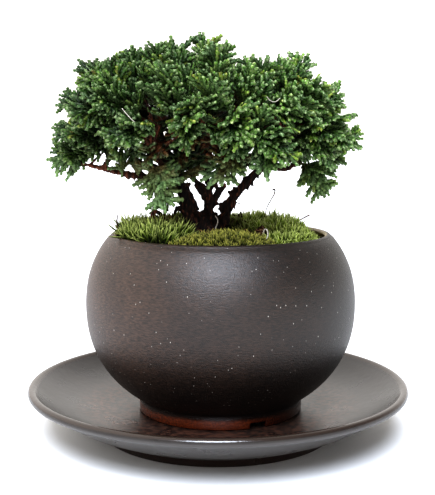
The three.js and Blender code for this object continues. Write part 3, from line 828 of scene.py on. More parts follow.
def saucer_mesh(sides):
    """The saucer: foot ring, flared underside, rolled rim and shallow well."""
    lip_radius = SAUCER_RADIUS - SAUCER_LIP
    lip_height = SAUCER_HEIGHT - SAUCER_LIP
    foot_inner = SAUCER_FOOT_RADIUS - SAUCER_FOOT_WIDTH
    outline = [
        (0, SAUCER_FOOT_HEIGHT - 1),
        (foot_inner - 1.4, SAUCER_FOOT_HEIGHT - 1),
        (foot_inner - 0.6, SAUCER_FOOT_HEIGHT - 1.3),
        (foot_inner, 0.4),
        (foot_inner + 0.6, 0),
        (SAUCER_FOOT_RADIUS - 1, 0),
        (SAUCER_FOOT_RADIUS - 0.3, 0.5),
        (SAUCER_FOOT_RADIUS, SAUCER_FOOT_HEIGHT - 0.4),
        (SAUCER_FOOT_RADIUS + 0.8, SAUCER_FOOT_HEIGHT + 0.3),
        (SAUCER_FOOT_RADIUS + 6, SAUCER_FOOT_HEIGHT + 2.2),
        (SAUCER_FOOT_RADIUS + 13, SAUCER_FOOT_HEIGHT + 5.2),
        (SAUCER_FOOT_RADIUS + 20, SAUCER_FOOT_HEIGHT + 9.4),
        (lip_radius - 2.4, lip_height - 3.2),
        *arc((lip_radius, lip_height), SAUCER_LIP, -70, 140, 14),
        (lip_radius - 2.6, lip_height + 0.1),
        (67, SAUCER_FLOOR + 6.6),
        (61, SAUCER_FLOOR + 3.7),
        (54, SAUCER_FLOOR + 1.9),
        (48, SAUCER_FLOOR + 1),
        (42, SAUCER_FLOOR + 0.35),
        (36, SAUCER_FLOOR),
        (0, SAUCER_FLOOR),
    ]
    return mesh_from(thrown(outline, sides, False), "saucer")


def merged_copy(node):
    """A copy of a CAD node's mesh with its loose triangles joined up, in metres."""
    bm = bmesh.new()
    bm.from_mesh(NODES[node].data)
    bmesh.ops.remove_doubles(bm, verts=bm.verts, dist=1e-6)
    return bm


def unit_vector(vector):
    return vector / np.linalg.norm(vector)


def square_to(vector, axis):
    """The direction of a vector's part that is square to a unit axis."""
    return unit_vector(vector - axis * vector.dot(axis))


def spray_place(base, tip, faces):
    """A spray from its base to its tip, whose flat side is turned towards a direction."""
    base, tip, faces = (np.array(v, float) for v in (base, tip, faces))
    length = np.linalg.norm(tip - base)
    along = (tip - base) / length
    return {
        "base": base,
        "tip": tip,
        "along": along,
        "normal": square_to(faces, along),
        "length": length,
        "middle": lerp(base, tip, SPRAY_MIDDLE),
    }


def spray_places():
    """Where the sprays stand: those of the outline first, then the rest evenly over the crown."""
    places = [spray_place(base, tip, TOWARDS_FRONT) for base, tip in OUTLINE_SPRAYS]
    for i in range(PLACES_TRIED):
        if len(places) == SPRAYS_IN_ALL:
            break
        lift = lerp(LOWEST_SPRAY, 1, (i / SPREAD**2) % 1)
        level = math.sqrt(1 - lift * lift)
        turn = 2 * math.pi * i / SPREAD
        out = np.array((level * math.cos(turn), level * math.sin(turn), lift))
        shares = np.abs(out / CROWN_REACH) ** CROWN_FULLNESS
        tip = CROWN_MIDDLE + out * shares.sum() ** (-1 / CROWN_FULLNESS)
        lean = np.array((0, 0, -LEAN if lift < LEAN_TURNS else LEAN))
        base = tip - unit_vector(out + lean) * SPRAY_LENGTH
        place = spray_place(base, tip, (math.cos(i), math.sin(i), TOWARDS_SKY))
        apart = [np.linalg.norm(other["middle"] - place["middle"]) for other in places]
        if min(apart) > SPRAYS_APART:
            places.append(place)
    return places


def bent_clear(points, own, places):
    """Bends a spray's points so that they stay nearer to its own middle than to another's."""
    others = np.array([p["middle"] for p in places if p is not own]) - own["middle"]
    apart = np.linalg.norm(others, axis=1)
    from_middle = points - own["middle"]
    share = (from_middle @ (others / apart[:, None]).T / ((apart - CELL_GAP) / 2)).max(1)
    rest = 1 - FREE_SHARE
    kept = FREE_SHARE + rest * (1 - np.exp(-np.clip(share - FREE_SHARE, 0, None) / rest))
    squeeze = np.where(share > FREE_SHARE, kept / np.maximum(share, 1e-6), 1)
    return own["middle"] + from_middle * squeeze[:, None]


def branchlet(scales):
    """A branchlet of unit length, width and thickness along +X, with crossed pairs of scales."""
    rows = 2 * scales + 1
    bm = bmesh.new()
    bmesh.ops.create_uvsphere(bm, u_segments=4, v_segments=rows, radius=1)
    for v in bm.verts:
        row = round(math.acos(max(-1, min(1, -v.co.z))) / math.pi * rows)
        leaf, swollen = divmod(row - 1, 2)
        turn = math.atan2(v.co.y, v.co.x)
        if row in (0, rows):
            t, width = row / rows, 0
        else:
            t = (leaf + (0.8 if swollen else 0.15)) / scales
            width = SCALE_SWELL if swollen else SCALE_NECK
            if leaf == 0 and not swollen:
                width = 0.5
            if leaf == scales - 1:
                width *= 0.85
            paired = abs(math.cos(turn)) > 0.7
            width *= 1 + SCALE_CROSSING * (1 if paired == (leaf % 2 == 0) else -1)
        v.co = (t, math.cos(turn) * width / 2, math.sin(turn) * width / 2)
    bmesh.ops.recalc_face_normals(bm, faces=bm.faces)
    return bm


def copies(pattern, poses, name):
    """A mesh with a copy of a pattern at each pose, made by doubling, and the copies' points."""
    mesh = mesh_from(pattern, name, 1)
    own = positions(mesh)
    pattern = bmesh.new()
    pattern.from_mesh(mesh)
    parts = (pattern.verts, pattern.edges, pattern.faces)
    sizes = [len(part) for part in parts]
    made = 1
    while made < len(poses):
        more = min(made, len(poses) - made)
        for part in parts:
            part.ensure_lookup_table()
        geom = [each for part, size in zip(parts, sizes) for each in part[: size * more]]
        bmesh.ops.duplicate(pattern, geom=geom)
        made += more
    poses = np.array(poses)
    points = np.einsum("kij,nj->kni", poses[:, :3, :3], own) + poses[:, None, :3, 3]
    return mesh_from(pattern, name, 1), points, own


def set_points(mesh, points, growth):
    """Moves a mesh's points, given in millimetres, and keeps their growth for the shader."""
    mesh.vertices.foreach_set("co", (points.reshape(-1) * MM).astype(np.float32))
    layer = mesh.attributes.new("growth", "FLOAT_COLOR", "POINT")
    layer.data.foreach_set("color", growth.reshape(-1).astype(np.float32))
    mesh.update()


def posed(x, y, z, turn, lift, roll, size):
    """A place, a turn in the frond's plane, a lift out of it and a roll, in degrees, and a size."""
    place = Matrix.Translation((x, y, z))
    turns = Matrix.Rotation(math.radians(turn), 4, "Z") @ Matrix.Rotation(
        math.radians(-lift), 4, "Y"
    )
    return place @ turns @ Matrix.Rotation(math.radians(roll), 4, "X") @ Matrix.Diagonal((*size, 1))


def frond_branchlets(reach, left, right, seed, settings, gap=LATERAL_GAP):
    """The branchlets of a frond along +X in its own plane: its axis, its laterals and theirs.
    Each has its number of scale leaves, its pose, its tone and how woody its foot is."""
    width, thick = settings.branchlet_width / MM, settings.branchlet_thickness / MM
    found = [
        (LONG, posed(-1.6, 0, 0, 0, 0, 0, (reach * 0.62, width * 0.65, thick * 0.9)), 0.3, 1.0),
        (LONG, posed(reach * 0.5, 0, 0, 0, 4, 0, (reach * 0.5, width, thick)), draw(seed + 2), 0.0),
    ]
    for side, count in ((-1, right), (1, left)):
        for i in range(count):
            share = (i + 0.5 + 0.18 * side) / count
            number = 10 + i + 40 * (side + 1)
            angle = lerp(42, 28, share) + between(-7, 7, seed + number)
            length = reach * lerp(0.5, 0.32, share) * between(0.85, 1.1, seed + number + 3)
            length += width * 0.7
            foot = reach * lerp(0.06, 0.8, share)
            lift = between(-8, 16, seed + number + 5)
            roll = between(-20, 20, seed + number + 7)
            lateral = posed(foot, 0, 0, side * angle, lift, roll, (1, 1, 1))
            tone = draw(number * 1.7 + seed)
            size = (length, width, thick)
            found.append((LONG, lateral @ Matrix.Diagonal((*size, 1)), tone, 0.0))
            steps = max(1, round((length - 3) / gap))
            for j in range(steps):
                for way in (-1, 1):
                    start = length * (0.2 + 0.56 * (j + (0.5 if way == side else 0.1)) / steps)
                    own = number * 7 + j * 2 + way
                    size = lerp(6, 4, j / steps) * between(0.8, 1.15, seed + own)
                    turn = way * between(24, 44, seed + own + 2)
                    rise = between(-12, 18, seed + own + 4)
                    size = (size, width * between(0.85, 1.1, seed + own + 6), thick)
                    pose = posed(start, 0, 0, turn, rise, way * 12, size)
                    found.append((SHORT, lateral @ pose, lerp(tone, draw(own * 2.3 + seed), 0.6), 0.0))
    return found


def frond_frame(base, along, normal, swing, lift):
    """Where a frond starts, and its own three directions."""
    along = Matrix.Rotation(math.radians(swing), 3, Vector(normal)) @ Vector(along)
    side = Vector(normal).cross(along)
    forward = Matrix.Rotation(math.radians(-lift), 3, side) @ along
    return [np.array(v) for v in (base, forward, side, forward.cross(side))]


def leafy_mesh(fronds, name, bend):
    """Fronds as one mesh. Each is built flat, then set in its frame, arched, and bent clear."""
    bm = bmesh.new()
    everything = []
    for scales in (SHORT, LONG):
        rows = [(f, row) for f in fronds for row in f["branchlets"] if row[0] == scales]
        mesh, flat, own = copies(branchlet(scales), [row[1] for _, row in rows], name)
        bm.from_mesh(mesh)
        start, forward, side, up = (
            np.array([f["frame"][k] for f, _ in rows])[:, None] for k in range(4)
        )
        reach = np.array([f["reach"] for f, _ in rows])[:, None, None]
        arch = np.array([f["arch"] for f, _ in rows])[:, None, None]
        x, y, z = (flat[..., k : k + 1] for k in range(3))
        points = start + x * forward + y * side + (z - reach * arch * (x / reach) ** 2) * up
        tone = np.array([row[2] for _, row in rows])[:, None]
        woody = np.array([row[3] for _, row in rows])[:, None]
        share = np.broadcast_to(own[:, 0], flat.shape[:2])
        growth = (share, tone + 0 * share, woody * (1 - share))
        everything.append((points.reshape(-1, 3), np.stack(growth, 2).reshape(-1, 3)))
    points = bend(np.concatenate([p for p, _ in everything]))
    # how far out in the crown a point lies, which the leaves' finish reads for its painted shade deep
    # in the crown and its dead patches
    shell = (np.abs((points - CROWN_MIDDLE) / CROWN_REACH) ** CROWN_FULLNESS).sum(1)
    outer = np.clip((shell ** (1 / CROWN_FULLNESS) - 0.3) / 0.5, 0, 1)
    share, tone, woody = np.concatenate([g for _, g in everything]).T
    mesh = mesh_from(bm, name, 1)
    set_points(mesh, points, np.stack((share, tone, outer, woody), 1))
    return mesh


def spray_fronds(number, place, settings):
    """The fronds of a spray in the crown, which grew less on its high right side."""
    x, _, z = place["tip"]
    of_outline = number < len(OUTLINE_SPRAYS)
    hanging = z < HANGING_BELOW
    if hanging:
        vigour = FAR_RIGHT_VIGOUR if x > FAR_RIGHT else HANGING_VIGOUR
    elif of_outline:
        vigour = OUTLINE_VIGOUR
    else:
        vigour = CROWN_VIGOUR - RIGHT_LOSS * (ramped(x, 0, RIGHT_REACH) if z > HIGH_ABOVE else 0)
    # those that face the front under the dome are thin, and show the limbs behind them
    thin = not of_outline and place["along"][1] < FACES_FRONT and z < DOME_FROM
    if thin:
        vigour *= THIN_SHARE
    fronds = []
    for n, posture in enumerate(FRONDS[: 2 if hanging else 3 if z < LOW_BELOW or thin else None]):
        seed = number * 10 + n
        reach = place["length"] * posture["size"] * vigour
        base = lerp(place["base"], place["tip"], posture["leaves"])
        turns = posture["swing"], posture["lift"]
        laterals = posture["left"], posture["right"]
        gap = HANGING_GAP if hanging else LATERAL_GAP
        fronds.append({
            "reach": reach,
            "arch": between(0.08, 0.24, seed + 7),
            "frame": frond_frame(base, place["along"], place["normal"], *turns),
            "branchlets": frond_branchlets(reach, *laterals, seed, settings, gap),
        })
    return fronds


def bears_frond(middle, low):
    """Whether a short frond may start there: the stems and the crown's foot stay bare."""
    x, _, z = middle
    out = middle - CROWN_MIDDLE
    at_foot = out[2] < CROWN_FOOT_BELOW and np.linalg.norm(out[:2]) < CROWN_FOOT_RADIUS
    on_stems = z < BARE_STEMS_BELOW and BARE_STEMS_WIDTH[0] < x < BARE_STEMS_WIDTH[1]
    too_far = low and not INNER_LOW_WIDTH[0] < x < INNER_LOW_WIDTH[1]
    return INNER_HEIGHTS[0] < z < INNER_HEIGHTS[1] and not (at_foot or on_stems or too_far)


def short_frond(foot, way, normal, reach, arch, seed, settings):
    """A frond straight from a limb, with three laterals on either side."""
    way = unit_vector(way)
    return {
        "reach": reach,
        "arch": arch,
        "frame": frond_frame(foot, way, square_to(normal, way), 0, 0),
        "branchlets": frond_branchlets(reach, 3, 3, seed, settings),
    }


def inner_fronds(settings):
    """Short fronds straight from the limbs inside the crown."""
    bm = merged_copy("wood")
    found = []
    places = []
    for n, face in enumerate(bm.faces):
        middle = np.array(face.calc_center_median()) / MM
        low = middle[2] < INNER_LOW_BELOW and not INNER_LOW_APART[0] < middle[0] < INNER_LOW_APART[1]
        if not bears_frond(middle, low):
            continue
        if any(np.linalg.norm(middle - other) < settings.inner_spacing / MM for other in places):
            continue
        places.append(middle)
        out = (middle - CROWN_MIDDLE) * (1, 1, 0.4)
        way = unit_vector(out) + np.array((0, 0, between(-0.3, 0.9, n + 0.5)))
        way += np.array([between(-0.6, 0.6, n + k) for k in (1.5, 2.5, 3.5)])
        normal = np.array((between(-0.5, 0.5, n + 4), between(-0.6, 0.2, n + 5), 1.0))
        reach = between(10, 15, n + 6)
        # the low ones stand up, and are shorter
        if low:
            way = np.array((between(-0.7, 0.2, n + 1.5), between(-0.5, 0.3, n + 2.5), 1.0))
            reach = between(8, 11, n + 6)
        arch = between(0.05, 0.3, n + 7)
        found.append(short_frond(middle, way, normal, reach, arch, n, settings))
    bm.free()
    normal = np.array((0.2, -0.8, 0.6))
    for n, (foot, way, reach) in enumerate(STEM_FRONDS):
        foot, way = np.array(foot), np.array(way)
        found.append(short_frond(foot, way, normal, reach, 0.15, n + 0.25, settings))
    return found


def drop_scraps(bm):
    """Keeps the largest island of a mesh, and drops the crumbs that the remesh left round it."""
    unseen = set(bm.verts)
    islands = []
    while unseen:
        front = [unseen.pop()]
        island = []
        while front:
            vert = front.pop()
            island.append(vert)
            near = {edge.other_vert(vert) for edge in vert.link_edges} & unseen
            unseen -= near
            front.extend(near)
        islands.append(island)
    islands.sort(key=len)
    if len(islands) > 1 and len(islands[-2]) > LARGEST_SCRAP:
        raise RuntimeError("A limb has come loose from the trunk")
    scraps = [vert for island in islands[:-1] for vert in island]
    bmesh.ops.delete(bm, geom=scraps, context="VERTS")


def add_prong(bm, middle, way, tall, foot_radius, end_radius, sides):
    """A tapering stub of wood, in metres."""
    turn = way.to_track_quat("Z", "Y").to_matrix().to_4x4()
    bmesh.ops.create_cone(
        bm, cap_ends=True, segments=sides, radius1=foot_radius, radius2=end_radius, depth=tall,
        matrix=Matrix.Translation(middle) @ turn,
    )


def bark_mesh(settings):
    """The stems, limbs and roots with knots and broken stubs, grown into one skin of fibrous bark."""
    bm = merged_copy("wood")
    # the bare stems are slimmer, and most of all the middle one; the limbs are stouter
    bm.normal_update()
    for v in bm.verts:
        x, y, z = v.co / MM
        away = ramped(math.hypot(x - TRUNK_X, y), 14, 22)
        # behind, the limbs that leave the middle stem keep their whole width
        stem = ramped(z, 84, 89) * (1 - ramped(z, 102, 110)) * (1 - away) * (1 - ramped(y, 0, 4))
        trim = MIDDLE_STEM_TRIM if abs(x + 3.5) < 5 else LEFT_STEM_TRIM if x < 0 else STEM_TRIM
        v.co -= v.normal * MM * (trim * stem - LIMB_GROWTH * max(away, ramped(z, 102, 110)))
    for foot, end, foot_radius, end_radius in STUBS:
        foot, end = Vector(foot) * MM, Vector(end) * MM
        way = end - foot
        add_prong(bm, (foot + end) / 2, way, way.length, foot_radius * MM, end_radius * MM, 7)
    # spurs of old leaves and twigs along the dark stems
    rng = np.random.default_rng(3)
    faces = [f for f in bm.faces if 0.082 < f.calc_center_median().z < 0.118]
    area = np.array([f.calc_area() for f in faces])
    spurs = []
    for i in rng.choice(len(faces), settings.spurs, p=area / area.sum()):
        weights = rng.dirichlet((1, 1, 1))
        foot = sum((v.co * w for v, w in zip(faces[i].verts, weights)), Vector())
        spurs.append((foot, (faces[i].normal + Vector(rng.normal(0, 0.5, 3))).normalized()))
    for foot, way in spurs:
        tall, radius = rng.uniform(1.2, 3.0) * MM, rng.uniform(0.45, 0.8) * MM
        add_prong(bm, foot + way * tall * 0.35, way, tall, radius * 1.5, radius * 0.6, 5)
    rough = mesh_from(bm, "rough_wood", 1)
    skin = evaluated(
        rough,
        ("REMESH", {"mode": "VOXEL", "voxel_size": settings.bark_detail}),
        ("SMOOTH", {"factor": 0.5, "iterations": 2}),
    )
    bm = bmesh.new()
    bm.from_mesh(skin)
    drop_scraps(bm)
    relief = settings.bark_relief
    trimmed = 0.1 * MM
    for v in bm.verts:
        x, y, z = v.co / MM
        fibre = noise.noise(Vector((x * 0.9, y * 0.9, z * 0.22)))
        flake = noise.noise(Vector((x * 0.45, y * 0.45, z * 0.35 + 50)))
        # the relief fades on the thin limbs high up
        fade = max(0.35, ramped(z, 118, 93))
        v.co += v.normal * (relief * fade * (0.8 - 3.2 * abs(fibre) + 1.3 * flake) - trimmed)
    return mesh_from(bm, "bark_skin", 1)


def moss_mesh(name, count, length, width, splay, tuft, seed):
    """A cushion: the mat's own dome, sunk by the height of the shoots that stand all over it."""
    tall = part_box(name)[1][2] / MM - SOIL_TOP
    body = evaluated(
        mesh_from(merged_copy(name), name, 1 / MM),
        ("SUBSURF", {"levels": 2, "render_levels": 2}),
    )
    corners = positions(body)
    corners[:, 2] = SOIL_TOP + (corners[:, 2] - SOIL_TOP) * (1 - 0.9 * length / tall)
    body.calc_loop_triangles()
    triangles = np.array([t.vertices[:] for t in body.loop_triangles])
    a, b, c = (corners[triangles[:, i]] for i in range(3))
    cross = np.cross(b - a, c - a)
    area = np.linalg.norm(cross, axis=1)
    up = cross[:, 2] / np.maximum(area, 1e-9)
    weight = np.where(up > 0.02, area, 0)
    # none where the flake of bark lies, nor just before it
    chip = np.array(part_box("bark_chip")).mean(0) / MM - (0, 4, 0)
    weight[np.linalg.norm(((a + b + c) / 3 - chip)[:, :2] / (4.8, 9), axis=1) < 1] = 0
    rng = np.random.default_rng(seed)
    chosen = rng.choice(len(area), count, p=weight / weight.sum())
    u, v = rng.random((2, count))
    flip = u + v > 1
    u, v = np.where(flip, 1 - u, u), np.where(flip, 1 - v, v)
    feet = a[chosen] + (b - a)[chosen] * u[:, None] + (c - a)[chosen] * v[:, None]
    normals = cross[chosen] / area[chosen][:, None]
    # shoots lean out from the middle of their tuft, and are shortest between tufts, where they are
    # painted darkest as painted shade
    middles = feet[rng.choice(count, int(weight.sum() / 2 / tuft**2), replace=False)]
    away = np.linalg.norm(feet[:, None] - middles[None], axis=2)
    nearest = away.argmin(1)
    away = np.minimum(1, away[np.arange(count), nearest] / tuft)
    lean = (feet - middles[nearest]) / tuft
    ways = normals * 0.7 + np.array((0, 0, 0.6)) + lean * 1.1 + rng.normal(0, splay, (count, 3))

    pattern = bmesh.new()
    bmesh.ops.create_uvsphere(pattern, u_segments=3, v_segments=5, radius=1)
    for vert in pattern.verts:
        t = (vert.co.z + 1) / 2
        girth = (1 - t) ** 0.6 * (0.6 + 1.2 * t)
        turn = math.atan2(vert.co.y, vert.co.x)
        round_by = math.sin(math.acos(max(-1, min(1, vert.co.z)))) * girth
        bow = 0.28 * t * t / width * length
        vert.co = (math.cos(turn) * round_by / 2 + bow, math.sin(turn) * round_by / 2, t)
    poses = []
    for i in range(count):
        tall = length * (0.75 + 0.6 * rng.random()) * (1.15 - 0.5 * away[i])
        broad = width * (0.75 + 0.5 * rng.random())
        # it is short along the right side of the wall
        from_axis = math.hypot(feet[i][0] - POT_X, feet[i][1])
        if feet[i][0] > 14:
            tall *= lerp(1, 0.4, ramped(from_axis, 32, 38))
        turn = Vector(ways[i]).to_track_quat("Z", "Y").to_matrix().to_4x4()
        twist = Matrix.Rotation(rng.random() * TWIST, 4, "Z")
        size = Matrix.Diagonal((broad, broad, tall, 1))
        place = Matrix.Translation(Vector(feet[i]) - Vector(normals[i]) * 0.2)
        poses.append(place @ turn @ twist @ size)
    mesh, points, own = copies(pattern, poses, name)
    share = np.broadcast_to(own[:, 2], points.shape[:2])
    # painted shade: a shoot's tone falls with its distance from its tuft's middle
    tone = (rng.random(count) * (1 - 0.5 * away) + 0.25)[:, None] + 0 * share
    growth = np.stack((share, tone, 0 * share, 0 * share), 2).reshape(-1, 4)
    points = np.concatenate((corners, points.reshape(-1, 3)))
    growth = np.concatenate((np.zeros((len(corners), 4)), growth))
    # nothing grows through the pot's wall
    room = np.array([pot_radius(min(max(z, SOIL_TOP), RIM_HEIGHT)) for z in points[:, 2]])
    room = np.where(points[:, 2] < RIM_HEIGHT + 0.6, room - WALL - 0.4, 1e3)
    flat = points[:, :2] - (POT_X, 0)
    out = np.linalg.norm(flat, axis=1)
    points[:, :2] = flat * np.minimum(1, room / np.maximum(out, 1e-6))[:, None] + (POT_X, 0)
    bm = bmesh.new()
    bm.from_mesh(body)
    bm.from_mesh(mesh)
    mesh = mesh_from(bm, name, 1)
    set_points(mesh, points, growth)
    return mesh


def fallen_mesh(name):
    """Dead branchlets lying on the soil and in the moss round the trunk."""
    ground = bmesh.new()
    for node in ("soil", *MATS):
        ground.from_mesh(NODES[node].data)
    ground = BVHTree.FromBMesh(ground)
    rng = np.random.default_rng(21)
    poses = []
    for _ in range(FALLEN_LEAVES):
        turn = rng.random() * 2 * math.pi
        reach = 7 + 12 * rng.random() ** 1.6
        x, y = TRUNK_X + reach * math.cos(turn), reach * math.sin(turn)
        hit = ground.ray_cast(Vector((x, y, 100)) * MM, Vector((0, 0, -1)))[0]
        z = hit.z / MM + rng.uniform(-0.6, 0.8)
        size = (rng.uniform(2.0, 4.0), rng.uniform(0.6, 1.0), rng.uniform(0.5, 0.8))
        twist = math.degrees(rng.random() * TWIST)
        poses.append(posed(x, y, z, twist, rng.uniform(-20, 40), 0, size))
    mesh, points, own = copies(branchlet(SHORT), poses, name)
    share = np.broadcast_to(own[:, 0], points.shape[:2])
    tone = rng.random(len(poses))[:, None] + 0 * share
    set_points(mesh, points, np.stack((share, tone, 0 * share, 0 * share), 2))
    return mesh


def strand(points, radius_from, radius_to):
    """A thin round strand along a smooth line, as a mesh."""
    curve = bpy.data.curves.new("strand", "CURVE")
    curve.dimensions = "3D"
    curve.bevel_depth = MM
    curve.bevel_resolution = 1
    curve.resolution_u = 6
    curve.use_fill_caps = True
    spline = curve.splines.new("BEZIER")
    spline.bezier_points.add(len(points) - 1)
    for i, (knot, point) in enumerate(zip(spline.bezier_points, points)):
        knot.co = Vector(point) * MM
        knot.handle_left_type = knot.handle_right_type = "AUTO"
        knot.radius = lerp(radius_from, radius_to, i / (len(points) - 1))
    return evaluated(curve)


def caught(points):
    """Points (x, z) moved back along Y to the foremost leaf behind any of them."""
    leaves = [each for each in bpy.data.objects if each.name.startswith("leaves_")]
    rays = [
        each.ray_cast(Vector((x, -90, z)) * MM, (0, 1, 0)) for each in leaves for x, z in points
    ]
    foremost = min(ray[1].y for ray in rays if ray[0]) / MM
    return [(x, foremost, z) for x, z in points]


def joined(meshes, name):
    """Strands as one mesh, with their end caps welded on."""
    bm = bmesh.new()
    for mesh in meshes:
        bm.from_mesh(mesh)
    bmesh.ops.remove_doubles(bm, verts=bm.verts, dist=1e-6)
    bmesh.ops.recalc_face_normals(bm, faces=bm.faces)
    return mesh_from(bm, name, 1)


# ---------------------------------------------------------------- sizes and colours


class BonsaiSettings(bpy.types.PropertyGroup):
    """Sizes and colours of the bonsai, its pot and its stage."""

    pot_glaze: FloatVectorProperty(
        name="Pot glaze", description="Body colour of the matt glaze",
        default=linear("#30221a"), **COLOUR,
    )
    bare_clay: FloatVectorProperty(
        name="Bare clay", description="Colour of the unglazed foot",
        default=linear("#7e3b1a"), **COLOUR,
    )
    pot_roughness: FloatProperty(
        name="Pot roughness", description="How matt the pot's glaze is", default=0.45, **SHARE,
    )
    saucer_glaze: FloatVectorProperty(
        name="Saucer glaze", description="Body colour of the glossy glaze",
        default=linear("#302b28"), **COLOUR,
    )
    saucer_rim: FloatVectorProperty(
        name="Saucer rim", description="Colour where the glaze breaks on the rim",
        default=linear("#352a24"), **COLOUR,
    )
    saucer_roughness: FloatProperty(
        name="Saucer roughness", description="Roughness of the dullest patches of the saucer",
        default=0.36, **SHARE,
    )
    rim_roughness: FloatProperty(
        name="Rim roughness", description="Roughness of the crest of the saucer's rim",
        default=0.16, **SHARE,
    )
    branchlet_width: FloatProperty(
        name="Branchlet width", description="Width of a scale-leaved branchlet", default=2.0 * MM,
        min=0.5 * MM, max=4 * MM, **LENGTH,
    )
    branchlet_thickness: FloatProperty(
        name="Branchlet thickness", description="Thickness of a scale-leaved branchlet",
        default=1.5 * MM, min=0.4 * MM, max=3 * MM, **LENGTH,
    )
    leaf_dark: FloatVectorProperty(
        name="Old leaves", description="Colour of the darkest leaves",
        default=linear("#133c05"), **COLOUR,
    )
    leaf_green: FloatVectorProperty(
        name="Leaves", description="Colour of most leaves",
        default=linear("#336211"), **COLOUR,
    )
    leaf_tip: FloatVectorProperty(
        name="Leaf tips", description="Colour of the growing tips",
        default=linear("#a7b087"), **COLOUR,
    )
    leaf_bronze: FloatVectorProperty(
        name="Woody stalks", description="Colour of a spray's woody stalk",
        default=linear("#6b4a2c"), **COLOUR,
    )
    low_bloom: FloatProperty(
        name="Low bloom", description="Pale bloom on the lowest sprays", default=0.55, **SHARE,
    )
    bark_dark: FloatVectorProperty(
        name="Old bark", description="Colour of the bark on trunk and stems",
        default=linear("#2a1812"), **COLOUR,
    )
    bark_red: FloatVectorProperty(
        name="Young bark", description="Colour of the bark on the limbs",
        default=linear("#7a4630"), **COLOUR,
    )
    inner_spacing: FloatProperty(
        name="Inner spacing", description="Room between the fronds straight from the limbs",
        default=6.5 * MM, min=3 * MM, max=30 * MM, **LENGTH,
    )
    bark_detail: FloatProperty(
        name="Bark detail", description="Size of the bark's mesh", default=0.5 * MM,
        min=0.3 * MM, max=2 * MM, **LENGTH,
    )
    spurs: IntProperty(
        name="Spurs", description="Stubs of old twigs on the stems", default=110, min=0, max=600
    )
    bark_relief: FloatProperty(
        name="Bark relief", description="Depth of the bark's fibres", default=0.45 * MM,
        min=0, max=2 * MM, **LENGTH,
    )
    moss_shoots: IntProperty(
        name="Moss shoots", description="Shoots on a cushion of the finest moss", default=2600,
        min=100, max=6000,
    )
    round_sides: IntProperty(
        name="Sides", description="Sides of the thrown pieces", default=144, min=32, max=256
    )
    floor_colour: FloatVectorProperty(
        name="Floor", description="Colour of the floor",
        default=linear("#f2f2f2"), **COLOUR,
    )
    light_power: FloatProperty(
        name="Light power", description="Strength of the high front light", default=3.45, min=0,
        max=20,
    )
    room_light: FloatProperty(
        name="Room light", description="Brightness of the room in front", default=0.32, min=0, max=2
    )
    paper_light: FloatProperty(
        name="Paper light", description="Brightness of the paper behind", default=1.35, min=0, max=2
    )


# ---------------------------------------------------------------- operators


class BONSAI_OT_saucer(bpy.types.Operator):
    """Throws the saucer and glazes it"""

    bl_idname = "bonsai.saucer"
    bl_label = "Saucer"

    def execute(self, context):
        settings = context.scene.bonsai
        mesh = saucer_mesh(settings.round_sides)
        new_piece("glazed_saucer", mesh, saucer_glaze(settings), ["saucer"])
        return {"FINISHED"}


class BONSAI_OT_pot(bpy.types.Operator):
    """Throws the round pot, cuts its drain notches and glazes it, over its drain net"""

    bl_idname = "bonsai.pot"
    bl_label = "Pot"

    def execute(self, context):
        settings = context.scene.bonsai
        mesh = pot_mesh(settings.round_sides)
        new_piece("glazed_pot", mesh, stoneware_glaze(settings), ["pot"])
        dress(NODES["drain_net"].data, moulded_net())
        return {"FINISHED"}


class BONSAI_OT_soil(bpy.types.Operator):
    """Dresses the soil and strews loose grains where the moss leaves it bare"""

    bl_idname = "bonsai.soil"
    bl_label = "Soil"

    def execute(self, context):
        clay = fired_clay_grains()
        dress(NODES["soil"].data, clay)
        bm = bmesh.new()
        rng = np.random.default_rng(5)
        for i in range(LOOSE_GRAINS):
            # one in three lies round the trunk, the others along the wall
            by_wall = i % 3
            turn = rng.random() * 2 * math.pi
            reach = rng.uniform(38.5, 42) if by_wall else rng.uniform(8.2, 10.8)
            middle = POT_X if by_wall else TRUNK_X
            size = rng.uniform(0.6, 1.3)
            place = (middle + reach * math.cos(turn), reach * math.sin(turn))
            turns = Matrix.Rotation(rng.random() * TUMBLE, 4, "X")
            turns = turns @ Matrix.Rotation(rng.random() * TUMBLE, 4, "Z")
            shape = Matrix.Diagonal((size, size * 0.8, size * 0.65, 1))
            bmesh.ops.create_icosphere(
                bm, subdivisions=1, radius=1,
                matrix=Matrix.Translation((*place, SOIL_TOP + size * 0.5)) @ turns @ shape,
            )
        new_piece("loose_grains", mesh_from(bm, "loose_grains"), clay)
        return {"FINISHED"}


class BONSAI_OT_wood(bpy.types.Operator):
    """Grows the trunk, its stems and limbs with their bark"""

    bl_idname = "bonsai.wood"
    bl_label = "Wood"

    def execute(self, context):
        settings = context.scene.bonsai
        new_piece("trunk_and_limbs", bark_mesh(settings), bark(settings), ["wood"])
        return {"FINISHED"}


class BONSAI_OT_foliage(bpy.types.Operator):
    """Grows every spray of scale-leaved branchlets"""

    bl_idname = "bonsai.foliage"
    bl_label = "Foliage"

    def execute(self, context):
        settings = context.scene.bonsai
        leaves = scale_leaves(settings)
        places = spray_places()
        for i, place in enumerate(places):
            name = f"leaves_{i + 1:02d}"
            fronds = spray_fronds(i, place, settings)
            mesh = leafy_mesh(fronds, name, lambda points: bent_clear(points, place, places))
            new_piece(name, mesh, leaves, [f"spray_{i + 1:02d}"])
        mesh = leafy_mesh(inner_fronds(settings), "inner_leaves", lambda points: points)
        new_piece("inner_leaves", mesh, leaves)
        return {"FINISHED"}


